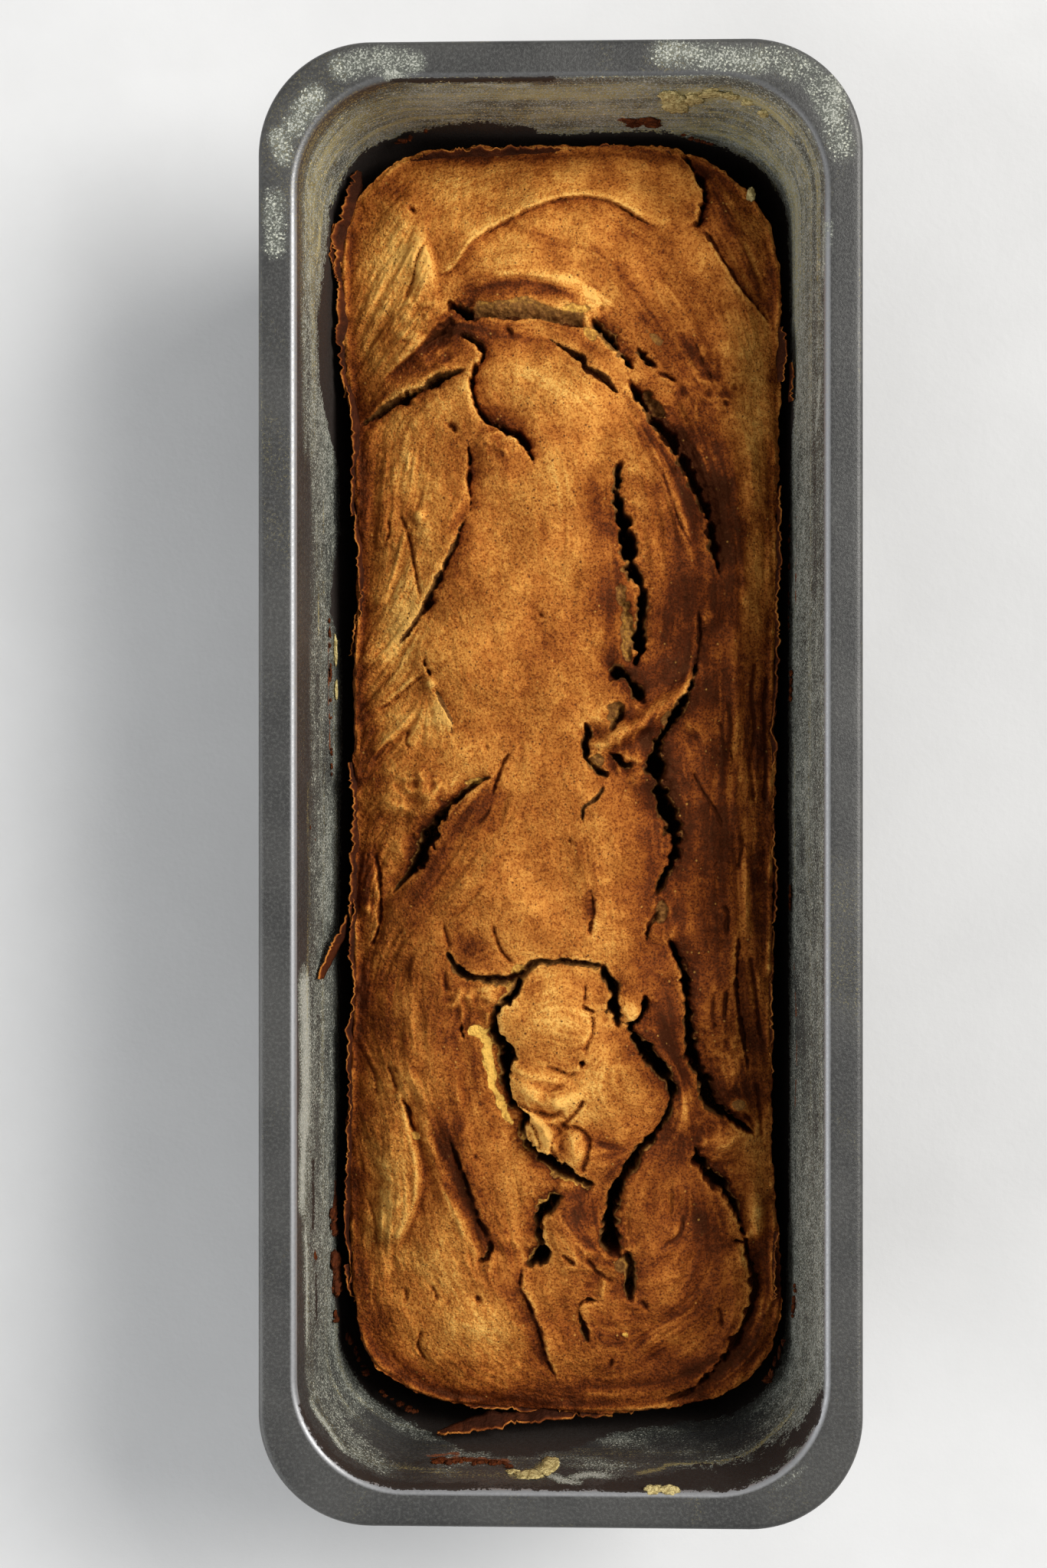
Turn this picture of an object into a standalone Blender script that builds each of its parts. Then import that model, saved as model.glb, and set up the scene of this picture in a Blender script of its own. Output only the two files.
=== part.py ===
"""Applesauce cinnamon bread in the loaf tin that it was baked in.

The tin is a long pressed steel loaf tin with drafted walls, round corners and a flat rim whose
outer edge is turned down.  The loaf has shrunk a little away from it on all sides.  Its top is
cracked and folded: torn gaps, soft valleys, a rope-like twist and a few puffed lobes.

The frame stands on the tin's flat base, +Z up, with the tin's long side along Y.
Lengths are written in millimetres and turned into metres where the mesh is made.
"""

import math

import bmesh
import bpy
import numpy as np
from mathutils import Vector
from mathutils.geometry import delaunay_2d_cdt

MM = 0.001

# Tin
RIM_LENGTH = 315.0
RIM_WIDTH = 128.0
RIM_HEIGHT = 70.0
RIM_RADIUS = 24.0
RIM_TURN_DOWN = 2.6
STEEL = 0.9
FLOOR_WIDTH = 90.4
FLOOR_LENGTH = 277.0
FLOOR_RADIUS = 16.0
FLOOR_FILLET = 3.0
LIP_WIDTH = 112.0
LIP_LENGTH = 299.0
LIP_RADIUS = 23.4
LIP_BEND = 1.5
CORNER_STEPS = 8

# Loaf
LOAF_GAP = 0.3
LOAF_EDGE_HEIGHT = 37.0
LOAF_CROWN = 13.8
LOAF_BASE_SCALE = (0.925, 0.972)
LOAF_BASE_ROUNDING = 3.0
LOAF_SIDE_BULGE = 0.4
DOME_HALF_WIDTH = 47.5
DOME_HALF_LENGTH = 140.5
OUTLINE_STEP = 4.6
CRACK_STEP = 3.4
GRID_STEP = 3.9
CLEAR_OF_CRACK = 1.7
NARROWEST_GROOVE = 1.3
SHOULDER_REACH = 2.6
SHOULDER_SHARE = 0.16

# Thin crust rim: how far in from the loaf's outline, and its height over the outline's edge
CRUST_RIM = ((0.0, 0.0), (0.8, 1.5), (1.9, 1.1), (3.4, 0.7))

# The loaf's outline at its top edge, seen from above, anticlockwise from the right side
OUTLINE = (
    (48.3, 104), (48.2, 113), (46.0, 123.5), (40.5, 131.5), (33, 137.8), (21, 141.3),
    (0, 141.8), (-22, 141.5), (-35, 139.4), (-41.5, 134), (-47, 128), (-49.2, 117),
    (-48.6, 98), (-46.6, 72), (-45.6, 45), (-46.8, 25), (-46.3, 2), (-47.2, -22),
    (-46.6, -44), (-47.6, -62), (-47.8, -88), (-46.8, -110), (-44.2, -125), (-38.5, -131.5),
    (-29, -136.6), (-14, -138.4), (10, -139.2), (28, -137.4), (38, -134), (45, -127),
    (48.1, -117), (48.3, -105), (46.9, -88), (46.2, -60), (46.6, -20), (47.0, 20), (47.7, 62),
)

# Open cracks and torn gaps: depth, then a route of (x, y, width)
CRACKS = {
    "far arc": (4.5, ((-27.5, 112, 1.6), (-23.5, 113.5, 2.4), (-20, 119, 2), (-12.8, 123.6, 1.7),
                      (-2, 128.5, 1.4), (10.5, 128.3, 1.0), (20.8, 122.3, 0.8))),
    "far hole": (11.0, ((-24.6, 105.8, 1.8), (-22, 104, 3.2), (-19.4, 102.6, 2.4))),
    "far tear": (4.0, ((-20, 104.5, 4), (-11, 104.2, 5), (-2, 103.1, 5), (6, 101.5, 3.4))),
    "far split": (9.0, ((6.5, 102, 1.6), (9.5, 98.8, 2.0), (12.5, 94.8, 2.0), (15.5, 91, 1.3))),
    "left flap top": (3.5, ((-38.3, 90.5, 1.2), (-31, 96.4, 1.6), (-23.7, 102.3, 2))),
    "left flap foot": (7.0, ((-21, 91.3, 1), (-27, 89, 1.7), (-31, 87.2, 2.2), (-37, 84.3, 1.6),
                             (-44.0, 80.3, 1))),
    "bent split": (6.0, ((-22.5, 98.7, 1), (-17.4, 94.8, 1.4), (-19.8, 88.6, 1.4),
                         (-16.6, 79.4, 2), (-10.5, 77, 2.4), (-6.2, 70, 1))),
    "middle split": (4.0, ((-3, 97.5, 1), (4, 93, 1.1), (8.5, 88.6, 1), (12.7, 85, 0.9))),
    "far right fold": (5.0, ((27.4, 138.4, 1.8), (31, 132, 2.2), (30.7, 126, 2), (28.6, 123, 1.2))),
    "right valley": (5.5, ((15, 87.7, 3), (20, 81, 4), (24.5, 75, 4), (29, 67, 4),
                           (32.6, 57.5, 3.4), (34.4, 46.5, 1.4))),
    "black crack": (14.0, ((12.5, 69.5, 1.2), (12.2, 64.5, 2), (13.3, 57, 2.8), (15, 49.5, 3),
                           (16.4, 43.5, 5), (17.2, 38, 3.6), (16.9, 30, 3), (16.2, 25, 1.5))),
    "crack end": (11.0, ((11.0, 24.4, 2.6), (13.6, 23.6, 3), (16.4, 20.6, 3.4), (16.6, 17.8, 2.6))),
    "curl slit": (7.0, ((5, 13, 1.4), (5.3, 9, 1.8), (5.4, 5.6, 1.6), (8.8, 2.4, 1.3))),
    "curl foot": (6.0, ((10, 7, 1.6), (12.6, 5.4, 2), (15.6, 4.6, 2))),
    "left split": (4.0, ((-20.3, 74.5, 1.2), (-20.4, 66, 1.3), (-21, 58.5, 1.2), (-23.5, 51, 1.3),
                         (-29.6, 40, 1.5), (-36.4, 30.3, 1.2))),
    "rope crack": (13.0, ((29.5, 28, 1.4), (28.2, 21.6, 1.6), (24.4, 15.2, 2.2), (21, 8, 3),
                          (20.4, 1.5, 5), (22.4, -5, 4.2), (24.6, -12, 3.4), (23.6, -18, 2.2),
                          (20.6, -23.5, 1))),
    "left gap": (9.0, ((-15.4, 1.4, 1), (-22.5, -2.2, 2), (-27, -7, 3.2), (-29.4, -11.6, 4),
                       (-31.8, -17.2, 2), (-37.3, -24, 1))),
    "right crack": (12.0, ((24, -34.5, 1.4), (26.8, -41.6, 1.7), (27.5, -51, 1.6), (28.6, -60, 3),
                           (31.2, -67, 4.2), (34.4, -71.8, 3.2), (42, -77, 1.2))),
    "right hole": (10.0, ((29.1, -79.4, 1.2), (30.8, -84, 3.6), (34.4, -88, 3), (37.8, -93.6, 1.7),
                          (40, -99.4, 1.5))),
    "cross crack": (6.0, ((-25, -36.5, 1.2), (-21, -41.8, 1.8), (-12, -43, 3), (-6.5, -39, 1.5),
                          (0, -38.6, 1.3), (9, -39.8, 1.2))),
    "knob right": (11.0, ((9, -39.8, 1.1), (11.5, -45, 1.7), (11.7, -49, 3), (12.4, -52.4, 2))),
    "lobe crack": (13.0, ((18.2, -47, 1.4), (15.2, -53.4, 2.2), (19.5, -59.5, 2.6),
                          (24.1, -66.5, 1.4), (22.4, -73.5, 1.3), (17, -81, 2.4), (11.2, -89, 3.4),
                          (10.6, -96, 4.6), (12.4, -102.4, 3.2), (15.2, -107, 1.6),
                          (15.2, -112.8, 1.1))),
    "knob left": (11.0, ((-9, -42.6, 3), (-10.4, -46.6, 2.6), (-15.4, -51.6, 2.2),
                         (-13, -57, 2.4), (-11.8, -64, 2), (-9.8, -71.4, 2), (-7.6, -77, 3),
                         (-2.6, -82.8, 3), (6.6, -87.2, 1.5))),
    "near crescent": (11.0, ((0.5, -90.3, 1.4), (-4.4, -94.4, 2.6), (-4.2, -100, 1.5),
                             (-4, -103.8, 2.5), (-8, -105.4, 1.3))),
    "near fold": (2.4, ((-8.7, -106.5, 1.2), (-8.4, -111, 1.4), (-4.8, -121, 1.4),
                        (-1.7, -131, 1.2))),
    "left long fold": (2.6, ((-24.3, -79, 1), (-20.8, -87.5, 1.2), (-16, -99.5, 1.6))),
    "left edge split": (3.0, ((-41.3, -17, 1), (-40, -27, 1.3), (-42.3, -36, 1))),
    "collar groove": (4.0, ((40, -100, 1.8), (42.2, -110, 2), (41, -118, 2), (36.5, -126, 2),
                            (27, -134.6, 1.6))),
    "right edge groove": (2.8, ((38.9, -34, 1.2), (38.4, -45, 1.3), (40.9, -61, 1.2))),
}

# Ropes of dough that stand proud: height, then a route of (x, y, width)
ROPES = {
    "twist": (3.0, ((29, 23, 5), (22, 16.4, 5.6), (15.6, 12.2, 5), (8.4, 8.2, 4))),
    "curled roll": (1.8, ((-9.6, -64.6, 6), (-6, -68, 6), (-0.5, -69, 6))),
    "far left ridge": (1.6, ((-34, 122, 6), (-31, 114, 5), (-29.6, 106, 4))),
    "near left ridge": (2.2, ((-38, -76, 10), (-35, -90, 12), (-40, -104, 10))),
    "right strip": (1.6, ((21.6, -55.6, 4), (26.3, -67, 5), (25, -78, 8))),
}

# Puffed lobes between the cracks: centre, half sizes and height
LOBES = (
    (-0.4, -50, 11, 11, 2.4), (14, -69, 10, 12, 2.6), (3, -99, 6, 11, 2.0), (35.6, -79, 6, 5, 1.4),
    (12, -20, 10, 17, 1.4), (-12, -20, 12, 18, 1.0), (22, -100, 8, 14, 1.0), (-1, 118, 18, 9, 1.0),
    (2, 56, 9, 22, 1.2), (-33, 96, 7, 5, 1.0),
)

# Torn crust beside the loaf: routes of (x, y, z) along the middle of a thin ribbon
SCRAP_ROUTE = ((-27.5, -144.2, 44), (-18, -142.9, 41.5), (-8, -141.8, 39.5), (3, -140.5, 37.5),
               (11, -140.2, 36.2))
SCRAP_WIDTH = 2.2
SCRAP_THICKNESS = 1.0
SCRAP_LEAN = -12.0
FLAKE_ROUTE = ((-48.1, -29, 39.5), (-49.6, -33.4, 44.0), (-51.2, -38, 48.4), (-52.5, -42.4, 53.2))
FLAKE_WIDTH = 5.0
FLAKE_THICKNESS = 0.8
FLAKE_LEAN = -9.0
RIBBON_STEP = 3.0


def clear_scene():
    for item in list(bpy.data.objects):
        bpy.data.objects.remove(item, do_unlink=True)


def make_material(name, colour, roughness, metallic):
    material = bpy.data.materials.new(name)
    material.use_nodes = True
    shader = material.node_tree.nodes["Principled BSDF"]
    shader.inputs["Base Color"].default_value = (*colour, 1.0)
    shader.inputs["Roughness"].default_value = roughness
    shader.inputs["Metallic"].default_value = metallic
    return material


def finish_object(name, mesh, material, sharp_angle):
    """Closes up the bmesh into a named object with faces that point out."""
    bmesh.ops.recalc_face_normals(mesh, faces=mesh.faces)
    data = bpy.data.meshes.new(name)
    mesh.to_mesh(data)
    mesh.free()
    data.materials.append(material)
    data.shade_smooth()
    data.set_sharp_from_angle(angle=math.radians(sharp_angle))
    item = bpy.data.objects.new(name, data)
    bpy.context.scene.collection.objects.link(item)
    return item


def smooth_route(points, step, closed=False):
    """A Catmull-Rom curve through the points, sampled evenly about every step."""
    points = np.array(points, dtype=float)
    count = len(points)
    spans = count if closed else count - 1
    dense = []
    for index in range(spans):
        if closed:
            before, start, end, after = (points[(index + k) % count] for k in (-1, 0, 1, 2))
        else:
            start, end = points[index], points[index + 1]
            before = points[index - 1] if index else 2 * start - end
            after = points[index + 2] if index + 2 < count else 2 * end - start
        for t in np.linspace(0, 1, 12, endpoint=False):
            dense.append(0.5 * (2 * start + (end - before) * t
                                + (2 * before - 5 * start + 4 * end - after) * t ** 2
                                + (3 * start - before - 3 * end + after) * t ** 3))
    dense.append(points[0] if closed else points[-1])
    dense = np.array(dense)
    lengths = np.linalg.norm(np.diff(dense[:, :2], axis=0), axis=1)
    travelled = np.concatenate(([0.0], np.cumsum(lengths)))
    samples = max(2, int(round(travelled[-1] / step)) + 1)
    at = np.linspace(0, travelled[-1], samples)
    if closed:
        at = at[:-1]
    return np.stack([np.interp(at, travelled, dense[:, k]) for k in range(dense.shape[1])], 1)


def bridge_rings(mesh, lower, upper):
    count = len(lower)
    for index in range(count):
        following = (index + 1) % count
        mesh.faces.new((lower[index], lower[following], upper[following], upper[index]))


# Tin

def rounded_ring(half_width, half_length, radius, height):
    """A level rounded rectangle as a list of points, anticlockwise."""
    ring = []
    for quarter, (side_x, side_y) in enumerate(((1, 1), (-1, 1), (-1, -1), (1, -1))):
        centre_x = side_x * (half_width - radius)
        centre_y = side_y * (half_length - radius)
        for step in range(CORNER_STEPS + 1):
            angle = math.radians(90 * (quarter + step / CORNER_STEPS))
            ring.append(Vector((centre_x + radius * math.cos(angle),
                                centre_y + radius * math.sin(angle), height)))
    return ring


def tin_wall(height, out):
    """Half width, half length and corner radius of the drafted wall, moved out by a distance."""
    share = (height - STEEL) / (RIM_HEIGHT - STEEL)
    half_width = (FLOOR_WIDTH + (LIP_WIDTH - FLOOR_WIDTH) * share) / 2 + out
    half_length = (FLOOR_LENGTH + (LIP_LENGTH - FLOOR_LENGTH) * share) / 2 + out
    radius = FLOOR_RADIUS + (LIP_RADIUS - FLOOR_RADIUS) * share + out
    return half_width, half_length, radius


def grown(size, out):
    """A rounded rectangle's sizes with the outline moved out by a distance."""
    return tuple(value + out for value in size)


def tin_rings():
    """Ring sizes from the middle of the tin's underside round the rim to its inner floor."""
    fillet = FLOOR_FILLET
    outer_foot = tin_wall(fillet + STEEL, STEEL)
    outer_top = tin_wall(RIM_HEIGHT - STEEL - LIP_BEND, STEEL)
    inner_top = tin_wall(RIM_HEIGHT - LIP_BEND, 0)
    inner_foot = tin_wall(fillet + STEEL, 0)
    rim = (RIM_WIDTH / 2, RIM_LENGTH / 2, RIM_RADIUS)
    rings = [(*grown(outer_foot, -fillet), 0.0), (*grown(outer_foot, -fillet * 0.35), fillet * 0.3)]
    rings += [(*outer_foot, fillet + STEEL), (*outer_top, RIM_HEIGHT - STEEL - LIP_BEND)]
    rings += [(*grown(outer_top, LIP_BEND * 0.3), RIM_HEIGHT - STEEL - LIP_BEND * 0.3)]
    rings += [(*grown(outer_top, LIP_BEND), RIM_HEIGHT - STEEL)]
    rings += [(*grown(rim, -STEEL), RIM_HEIGHT - STEEL)]
    rings += [(*grown(rim, -STEEL), RIM_HEIGHT - RIM_TURN_DOWN), (*rim, RIM_HEIGHT - RIM_TURN_DOWN)]
    rings += [(*rim, RIM_HEIGHT - STEEL), (*grown(rim, -STEEL * 0.3), RIM_HEIGHT - STEEL * 0.3)]
    rings += [(*grown(rim, -STEEL), RIM_HEIGHT)]
    rings += [(*grown(inner_top, LIP_BEND), RIM_HEIGHT)]
    rings += [(*grown(inner_top, LIP_BEND * 0.3), RIM_HEIGHT - LIP_BEND * 0.3)]
    rings += [(*inner_top, RIM_HEIGHT - LIP_BEND), (*inner_foot, fillet + STEEL)]
    rings += [(*grown(inner_foot, -fillet * 0.35), STEEL + fillet * 0.3)]
    rings += [(*grown(inner_foot, -fillet), STEEL)]
    return rings


def build_tin(material):
    mesh = bmesh.new()
    rings = []
    for half_width, half_length, radius, height in tin_rings():
        points = rounded_ring(half_width, half_length, radius, height)
        rings.append([mesh.verts.new(point * MM) for point in points])
    for lower, upper in zip(rings, rings[1:]):
        bridge_rings(mesh, lower, upper)
    mesh.faces.new(rings[0])
    mesh.faces.new(rings[-1])
    return finish_object("tin", mesh, material, 35)


# Loaf top

def along_route(points, route):
    """Each point's distance to a route of (x, y, width), and the width at the nearest place."""
    nearest = np.full(len(points), 1e9)
    width = np.zeros(len(points))
    for start, end in zip(route, route[1:]):
        step = end[:2] - start[:2]
        share = np.clip((points - start[:2]) @ step / (step @ step), 0, 1)
        distance = np.linalg.norm(points - start[:2] - share[:, None] * step, axis=1)
        closer = distance < nearest
        nearest[closer] = distance[closer]
        width[closer] = (start[2] + (end[2] - start[2]) * share)[closer]
    return nearest, width


def dome_height(points):
    across = np.clip(np.abs(points[:, 0]) / DOME_HALF_WIDTH, 0, 1) ** 2.6
    along = np.clip(np.abs(points[:, 1]) / DOME_HALF_LENGTH, 0, 1) ** 6
    return LOAF_EDGE_HEIGHT + LOAF_CROWN * (1 - across) * (1 - along)


def swelling(points):
    """Ropes, puffed lobes and a slow unevenness, in millimetres above the dome."""
    x, y = points[:, 0], points[:, 1]
    height = 0.35 * np.sin(x / 7.1 + 0.6) * np.sin(y / 9.3) + 0.3 * np.sin((x + y) / 5.7)
    for rise, route in ROPES.values():
        distance, width = along_route(points, smooth_route(route, CRACK_STEP))
        height += rise * np.exp(-1.4 * (2 * distance / width) ** 2)
    for centre_x, centre_y, half_x, half_y, rise in LOBES:
        spread = ((x - centre_x) / half_x) ** 2 + ((y - centre_y) / half_y) ** 2
        height += rise * np.exp(-spread)
    return height


def crack_drop(points):
    """How far the cracks and their rounded shoulders sink the surface."""
    drop = np.zeros(len(points))
    for depth, route in CRACKS.values():
        distance, width = along_route(points, smooth_route(route, CRACK_STEP))
        half = np.maximum(width, NARROWEST_GROOVE) / 2
        wide = np.clip(width / 3, 0.3, 1.0)
        inside = np.clip(1 - (distance / half) ** 2, 0, 1)
        beyond = np.clip(distance - half, 0, None)
        shoulder = SHOULDER_SHARE * depth * np.exp(-beyond / SHOULDER_REACH)
        drop = np.maximum(drop, wide * depth * (1 - SHOULDER_SHARE) * inside + wide * shoulder)
    return drop


def top_height(points):
    return dome_height(points) + swelling(points) - crack_drop(points)


def inset_outline(outline, distance):
    """The closed outline moved inward along its normals."""
    tangent = np.roll(outline, -1, 0) - np.roll(outline, 1, 0)
    tangent /= np.linalg.norm(tangent, axis=1)[:, None]
    return outline + distance * np.stack([-tangent[:, 1], tangent[:, 0]], 1)


def inside_loop(points, loop):
    """Even-odd test of each point against a closed loop."""
    inside = np.zeros(len(points), dtype=bool)
    for start, end in zip(loop, np.roll(loop, -1, 0)):
        if start[1] == end[1]:
            continue
        crosses = (start[1] > points[:, 1]) != (end[1] > points[:, 1])
        at = start[0] + (points[:, 1] - start[1]) * (end[0] - start[0]) / (end[1] - start[1])
        inside ^= crosses & (points[:, 0] < at)
    return inside


def crack_lines():
    """The bottom line and the two lips of each crack, as lists of points."""
    lines = []
    for _, route in CRACKS.values():
        centre = smooth_route(route, CRACK_STEP)
        heading = np.gradient(centre[:, :2], axis=0)
        heading /= np.linalg.norm(heading, axis=1)[:, None]
        aside = np.stack([-heading[:, 1], heading[:, 0]], 1)
        half = np.maximum(centre[:, 2], NARROWEST_GROOVE)[:, None] / 2
        lines.append(centre[:, :2])
        lines.append(centre[:, :2] + aside * half)
        lines.append(centre[:, :2] - aside * half)
    return lines


def grid_points(loop, taken):
    """A staggered grid inside the loop that keeps clear of the points already taken."""
    points = []
    row_step = GRID_STEP * math.sqrt(3) / 2
    rows = int(2 * DOME_HALF_LENGTH / row_step) + 2
    columns = int(2 * DOME_HALF_WIDTH / GRID_STEP) + 2
    for row in range(rows):
        shift = GRID_STEP / 2 if row % 2 else 0.0
        for column in range(columns):
            points.append((column * GRID_STEP - DOME_HALF_WIDTH + shift,
                           row * row_step - DOME_HALF_LENGTH))
    points = np.array(points)
    points = points[inside_loop(points, loop)]
    gaps = np.linalg.norm(points[:, None, :] - taken[None, :, :], axis=2).min(axis=1)
    return points[gaps > CLEAR_OF_CRACK]


def top_triangles(loop):
    """Points and triangles that fill the loop and follow every crack.  The loop comes first."""
    points = [tuple(point) for point in loop]
    edges = [(index, (index + 1) % len(loop)) for index in range(len(loop))]
    safe = inset_outline(loop, CLEAR_OF_CRACK)
    for line in crack_lines():
        kept = inside_loop(line, safe)
        previous = None
        for point, keep in zip(line, kept):
            if not keep:
                previous = None
                continue
            points.append(tuple(point))
            if previous is not None:
                edges.append((previous, len(points) - 1))
            previous = len(points) - 1
    points += [tuple(point) for point in grid_points(safe, np.array(points))]
    found = delaunay_2d_cdt([Vector(point) for point in points], edges, [], 1, 0.25)
    return np.array([tuple(point) for point in found[0]]), found[2]


# Loaf

def loaf_side_rings(outline):
    """Rings from the base of the loaf to its crust rim, each with its height."""
    base_z = STEEL + LOAF_GAP
    base = outline * np.array(LOAF_BASE_SCALE)
    rings = [(inset_outline(base, LOAF_BASE_ROUNDING), base_z)]
    rings += [(inset_outline(base, LOAF_BASE_ROUNDING * 0.3), base_z + LOAF_BASE_ROUNDING * 0.3)]
    rings += [(base, base_z + LOAF_BASE_ROUNDING)]
    for share in (0.38, 0.72):
        ring = inset_outline(base + (outline - base) * share, -LOAF_SIDE_BULGE)
        rings.append((ring, base_z + (LOAF_EDGE_HEIGHT - base_z) * share))
    for inset, rise in CRUST_RIM:
        rings.append((inset_outline(outline, inset), LOAF_EDGE_HEIGHT + rise))
    return rings


def build_loaf(material):
    outline = smooth_route(OUTLINE, OUTLINE_STEP, closed=True)
    rings = loaf_side_rings(outline)
    points, triangles = top_triangles(rings[-1][0])
    heights = top_height(points)
    mesh = bmesh.new()
    loops = []
    for ring, height in rings[:-1]:
        loops.append([mesh.verts.new((x * MM, y * MM, height * MM)) for x, y in ring])
    count = len(outline)
    heights[:count] = rings[-1][1]
    top = [mesh.verts.new((x * MM, y * MM, z * MM)) for (x, y), z in zip(points, heights)]
    loops.append(top[:count])
    for lower, upper in zip(loops, loops[1:]):
        bridge_rings(mesh, lower, upper)
    mesh.faces.new(loops[0])
    for triangle in triangles:
        mesh.faces.new([top[index] for index in triangle])
    return finish_object("loaf", mesh, material, 40)


# Torn crust

def build_ribbon(name, route, width, thickness, lean, material):
    """A thin torn strip of crust: it leans over from upright and narrows to its ends."""
    centre = smooth_route(route, RIBBON_STEP)
    heading = np.gradient(centre, axis=0)
    aside = np.stack([-heading[:, 1], heading[:, 0], np.zeros(len(heading))], 1)
    aside /= np.linalg.norm(aside, axis=1)[:, None]
    tilt = math.radians(lean)
    upright = np.array([0.0, 0.0, math.cos(tilt)]) + aside * math.sin(tilt)
    across = aside * math.cos(tilt) - np.array([0.0, 0.0, math.sin(tilt)])
    mesh = bmesh.new()
    loops = []
    for index, point in enumerate(centre):
        share = index / (len(centre) - 1)
        taper = 0.45 + 0.55 * math.sin(math.pi * share)
        half = width / 2 * taper * (1 + 0.12 * math.cos(5 * index))
        corners = []
        for up, side in ((-1, -1), (-1, 1), (0, 1), (1, 1), (1, -1), (0, -1)):
            corner = point + upright[index] * up * half + across[index] * side * thickness / 2
            corners.append(mesh.verts.new(corner * MM))
        loops.append(corners)
    for lower, upper in zip(loops, loops[1:]):
        bridge_rings(mesh, lower, upper)
    mesh.faces.new(loops[0])
    mesh.faces.new(loops[-1])
    return finish_object(name, mesh, material, 60)


def build():
    clear_scene()
    steel = make_material("tin_steel", (0.12, 0.115, 0.11), 0.42, 0.85)
    crust = make_material("loaf_crust", (0.36, 0.15, 0.045), 0.55, 0.0)
    torn = make_material("torn_crust", (0.3, 0.11, 0.04), 0.6, 0.0)
    build_tin(steel)
    build_loaf(crust)
    build_ribbon("crust_scrap", SCRAP_ROUTE, SCRAP_WIDTH, SCRAP_THICKNESS, SCRAP_LEAN, torn)
    build_ribbon("crust_flake", FLAKE_ROUTE, FLAKE_WIDTH, FLAKE_THICKNESS, FLAKE_LEAN, torn)


build()
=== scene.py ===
"""The finished look of the applesauce cinnamon bread in its loaf tin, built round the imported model.

Sizes and places are millimetres in the model's own frame, +Y to the tin's far end.  MM turns
them into metres where a mesh is made.
"""

import math

import bpy
import numpy as np
from mathutils import Matrix, Vector


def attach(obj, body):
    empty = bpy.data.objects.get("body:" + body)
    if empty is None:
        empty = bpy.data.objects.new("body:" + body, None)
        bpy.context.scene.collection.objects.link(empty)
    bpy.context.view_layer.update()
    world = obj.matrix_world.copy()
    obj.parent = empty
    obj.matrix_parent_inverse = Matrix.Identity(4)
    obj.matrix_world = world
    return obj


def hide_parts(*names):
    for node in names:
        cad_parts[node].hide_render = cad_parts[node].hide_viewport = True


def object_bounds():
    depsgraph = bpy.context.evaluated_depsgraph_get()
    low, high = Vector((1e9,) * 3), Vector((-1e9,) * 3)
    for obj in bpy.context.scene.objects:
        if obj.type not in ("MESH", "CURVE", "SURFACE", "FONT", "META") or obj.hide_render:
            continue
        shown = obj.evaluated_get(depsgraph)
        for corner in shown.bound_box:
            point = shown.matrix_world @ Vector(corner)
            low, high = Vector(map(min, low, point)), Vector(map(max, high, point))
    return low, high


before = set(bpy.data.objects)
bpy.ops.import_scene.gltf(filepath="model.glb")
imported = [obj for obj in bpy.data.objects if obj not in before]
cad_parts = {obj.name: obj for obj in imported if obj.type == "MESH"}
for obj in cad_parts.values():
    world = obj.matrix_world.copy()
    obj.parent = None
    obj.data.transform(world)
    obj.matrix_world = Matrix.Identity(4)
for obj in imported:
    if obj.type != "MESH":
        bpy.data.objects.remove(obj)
cad_low, cad_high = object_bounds()

MM = 0.001

# Camera, as the photograph was taken: looking down, a little right of the middle
PHOTO_HEIGHT = 2048
FOCAL_PIXELS = 3708
SENSOR = 36.0
CAMERA_PLACE = (14.4, 0.0, 670.0)
CAMERA_TILT = 2.1

# Light: a large soft window to the right and a little to the far end, and a pale room
WINDOW_PLACE = (1420.0, 620.0, 1400.0)
WINDOW_SIZE = 1200.0
WINDOW_POWER = 59.5
WINDOW_COLOUR = (1.0, 0.985, 0.96)
ROOM_COLOUR = (0.96, 0.98, 1.0)
ROOM_STRENGTH = 0.39
BOARD_PLACE = (-1000.0, -350.0, 460.0)
BOARD_SIZE = 1100.0
BOARD_POWER = 11.0

# Tin
STEEL = 0.9
TIN_HEIGHT = cad_high.z / MM
RIM_HALF_WIDTH = cad_high.x / MM
RIM_HALF_LENGTH = cad_high.y / MM
RIM_RADIUS = 24.0
RIM_TURN_DOWN = 2.6
FLOOR_HALF = (45.2, 138.5)
FLOOR_RADIUS = 16.0
FLOOR_FILLET = 3.0
LIP_HALF = (56.0, 149.5)
LIP_RADIUS = 23.4
LIP_BEND = 1.5
RIM_ROUNDING = 1.4
WALL_LEAN = 0.157
END_WALL_FROM = 134.0
INNER_HALF = (51.0, 146.0)
UNROLLED_RADIUS = 75.0
TIN_PROPORTION = 2.5

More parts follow.
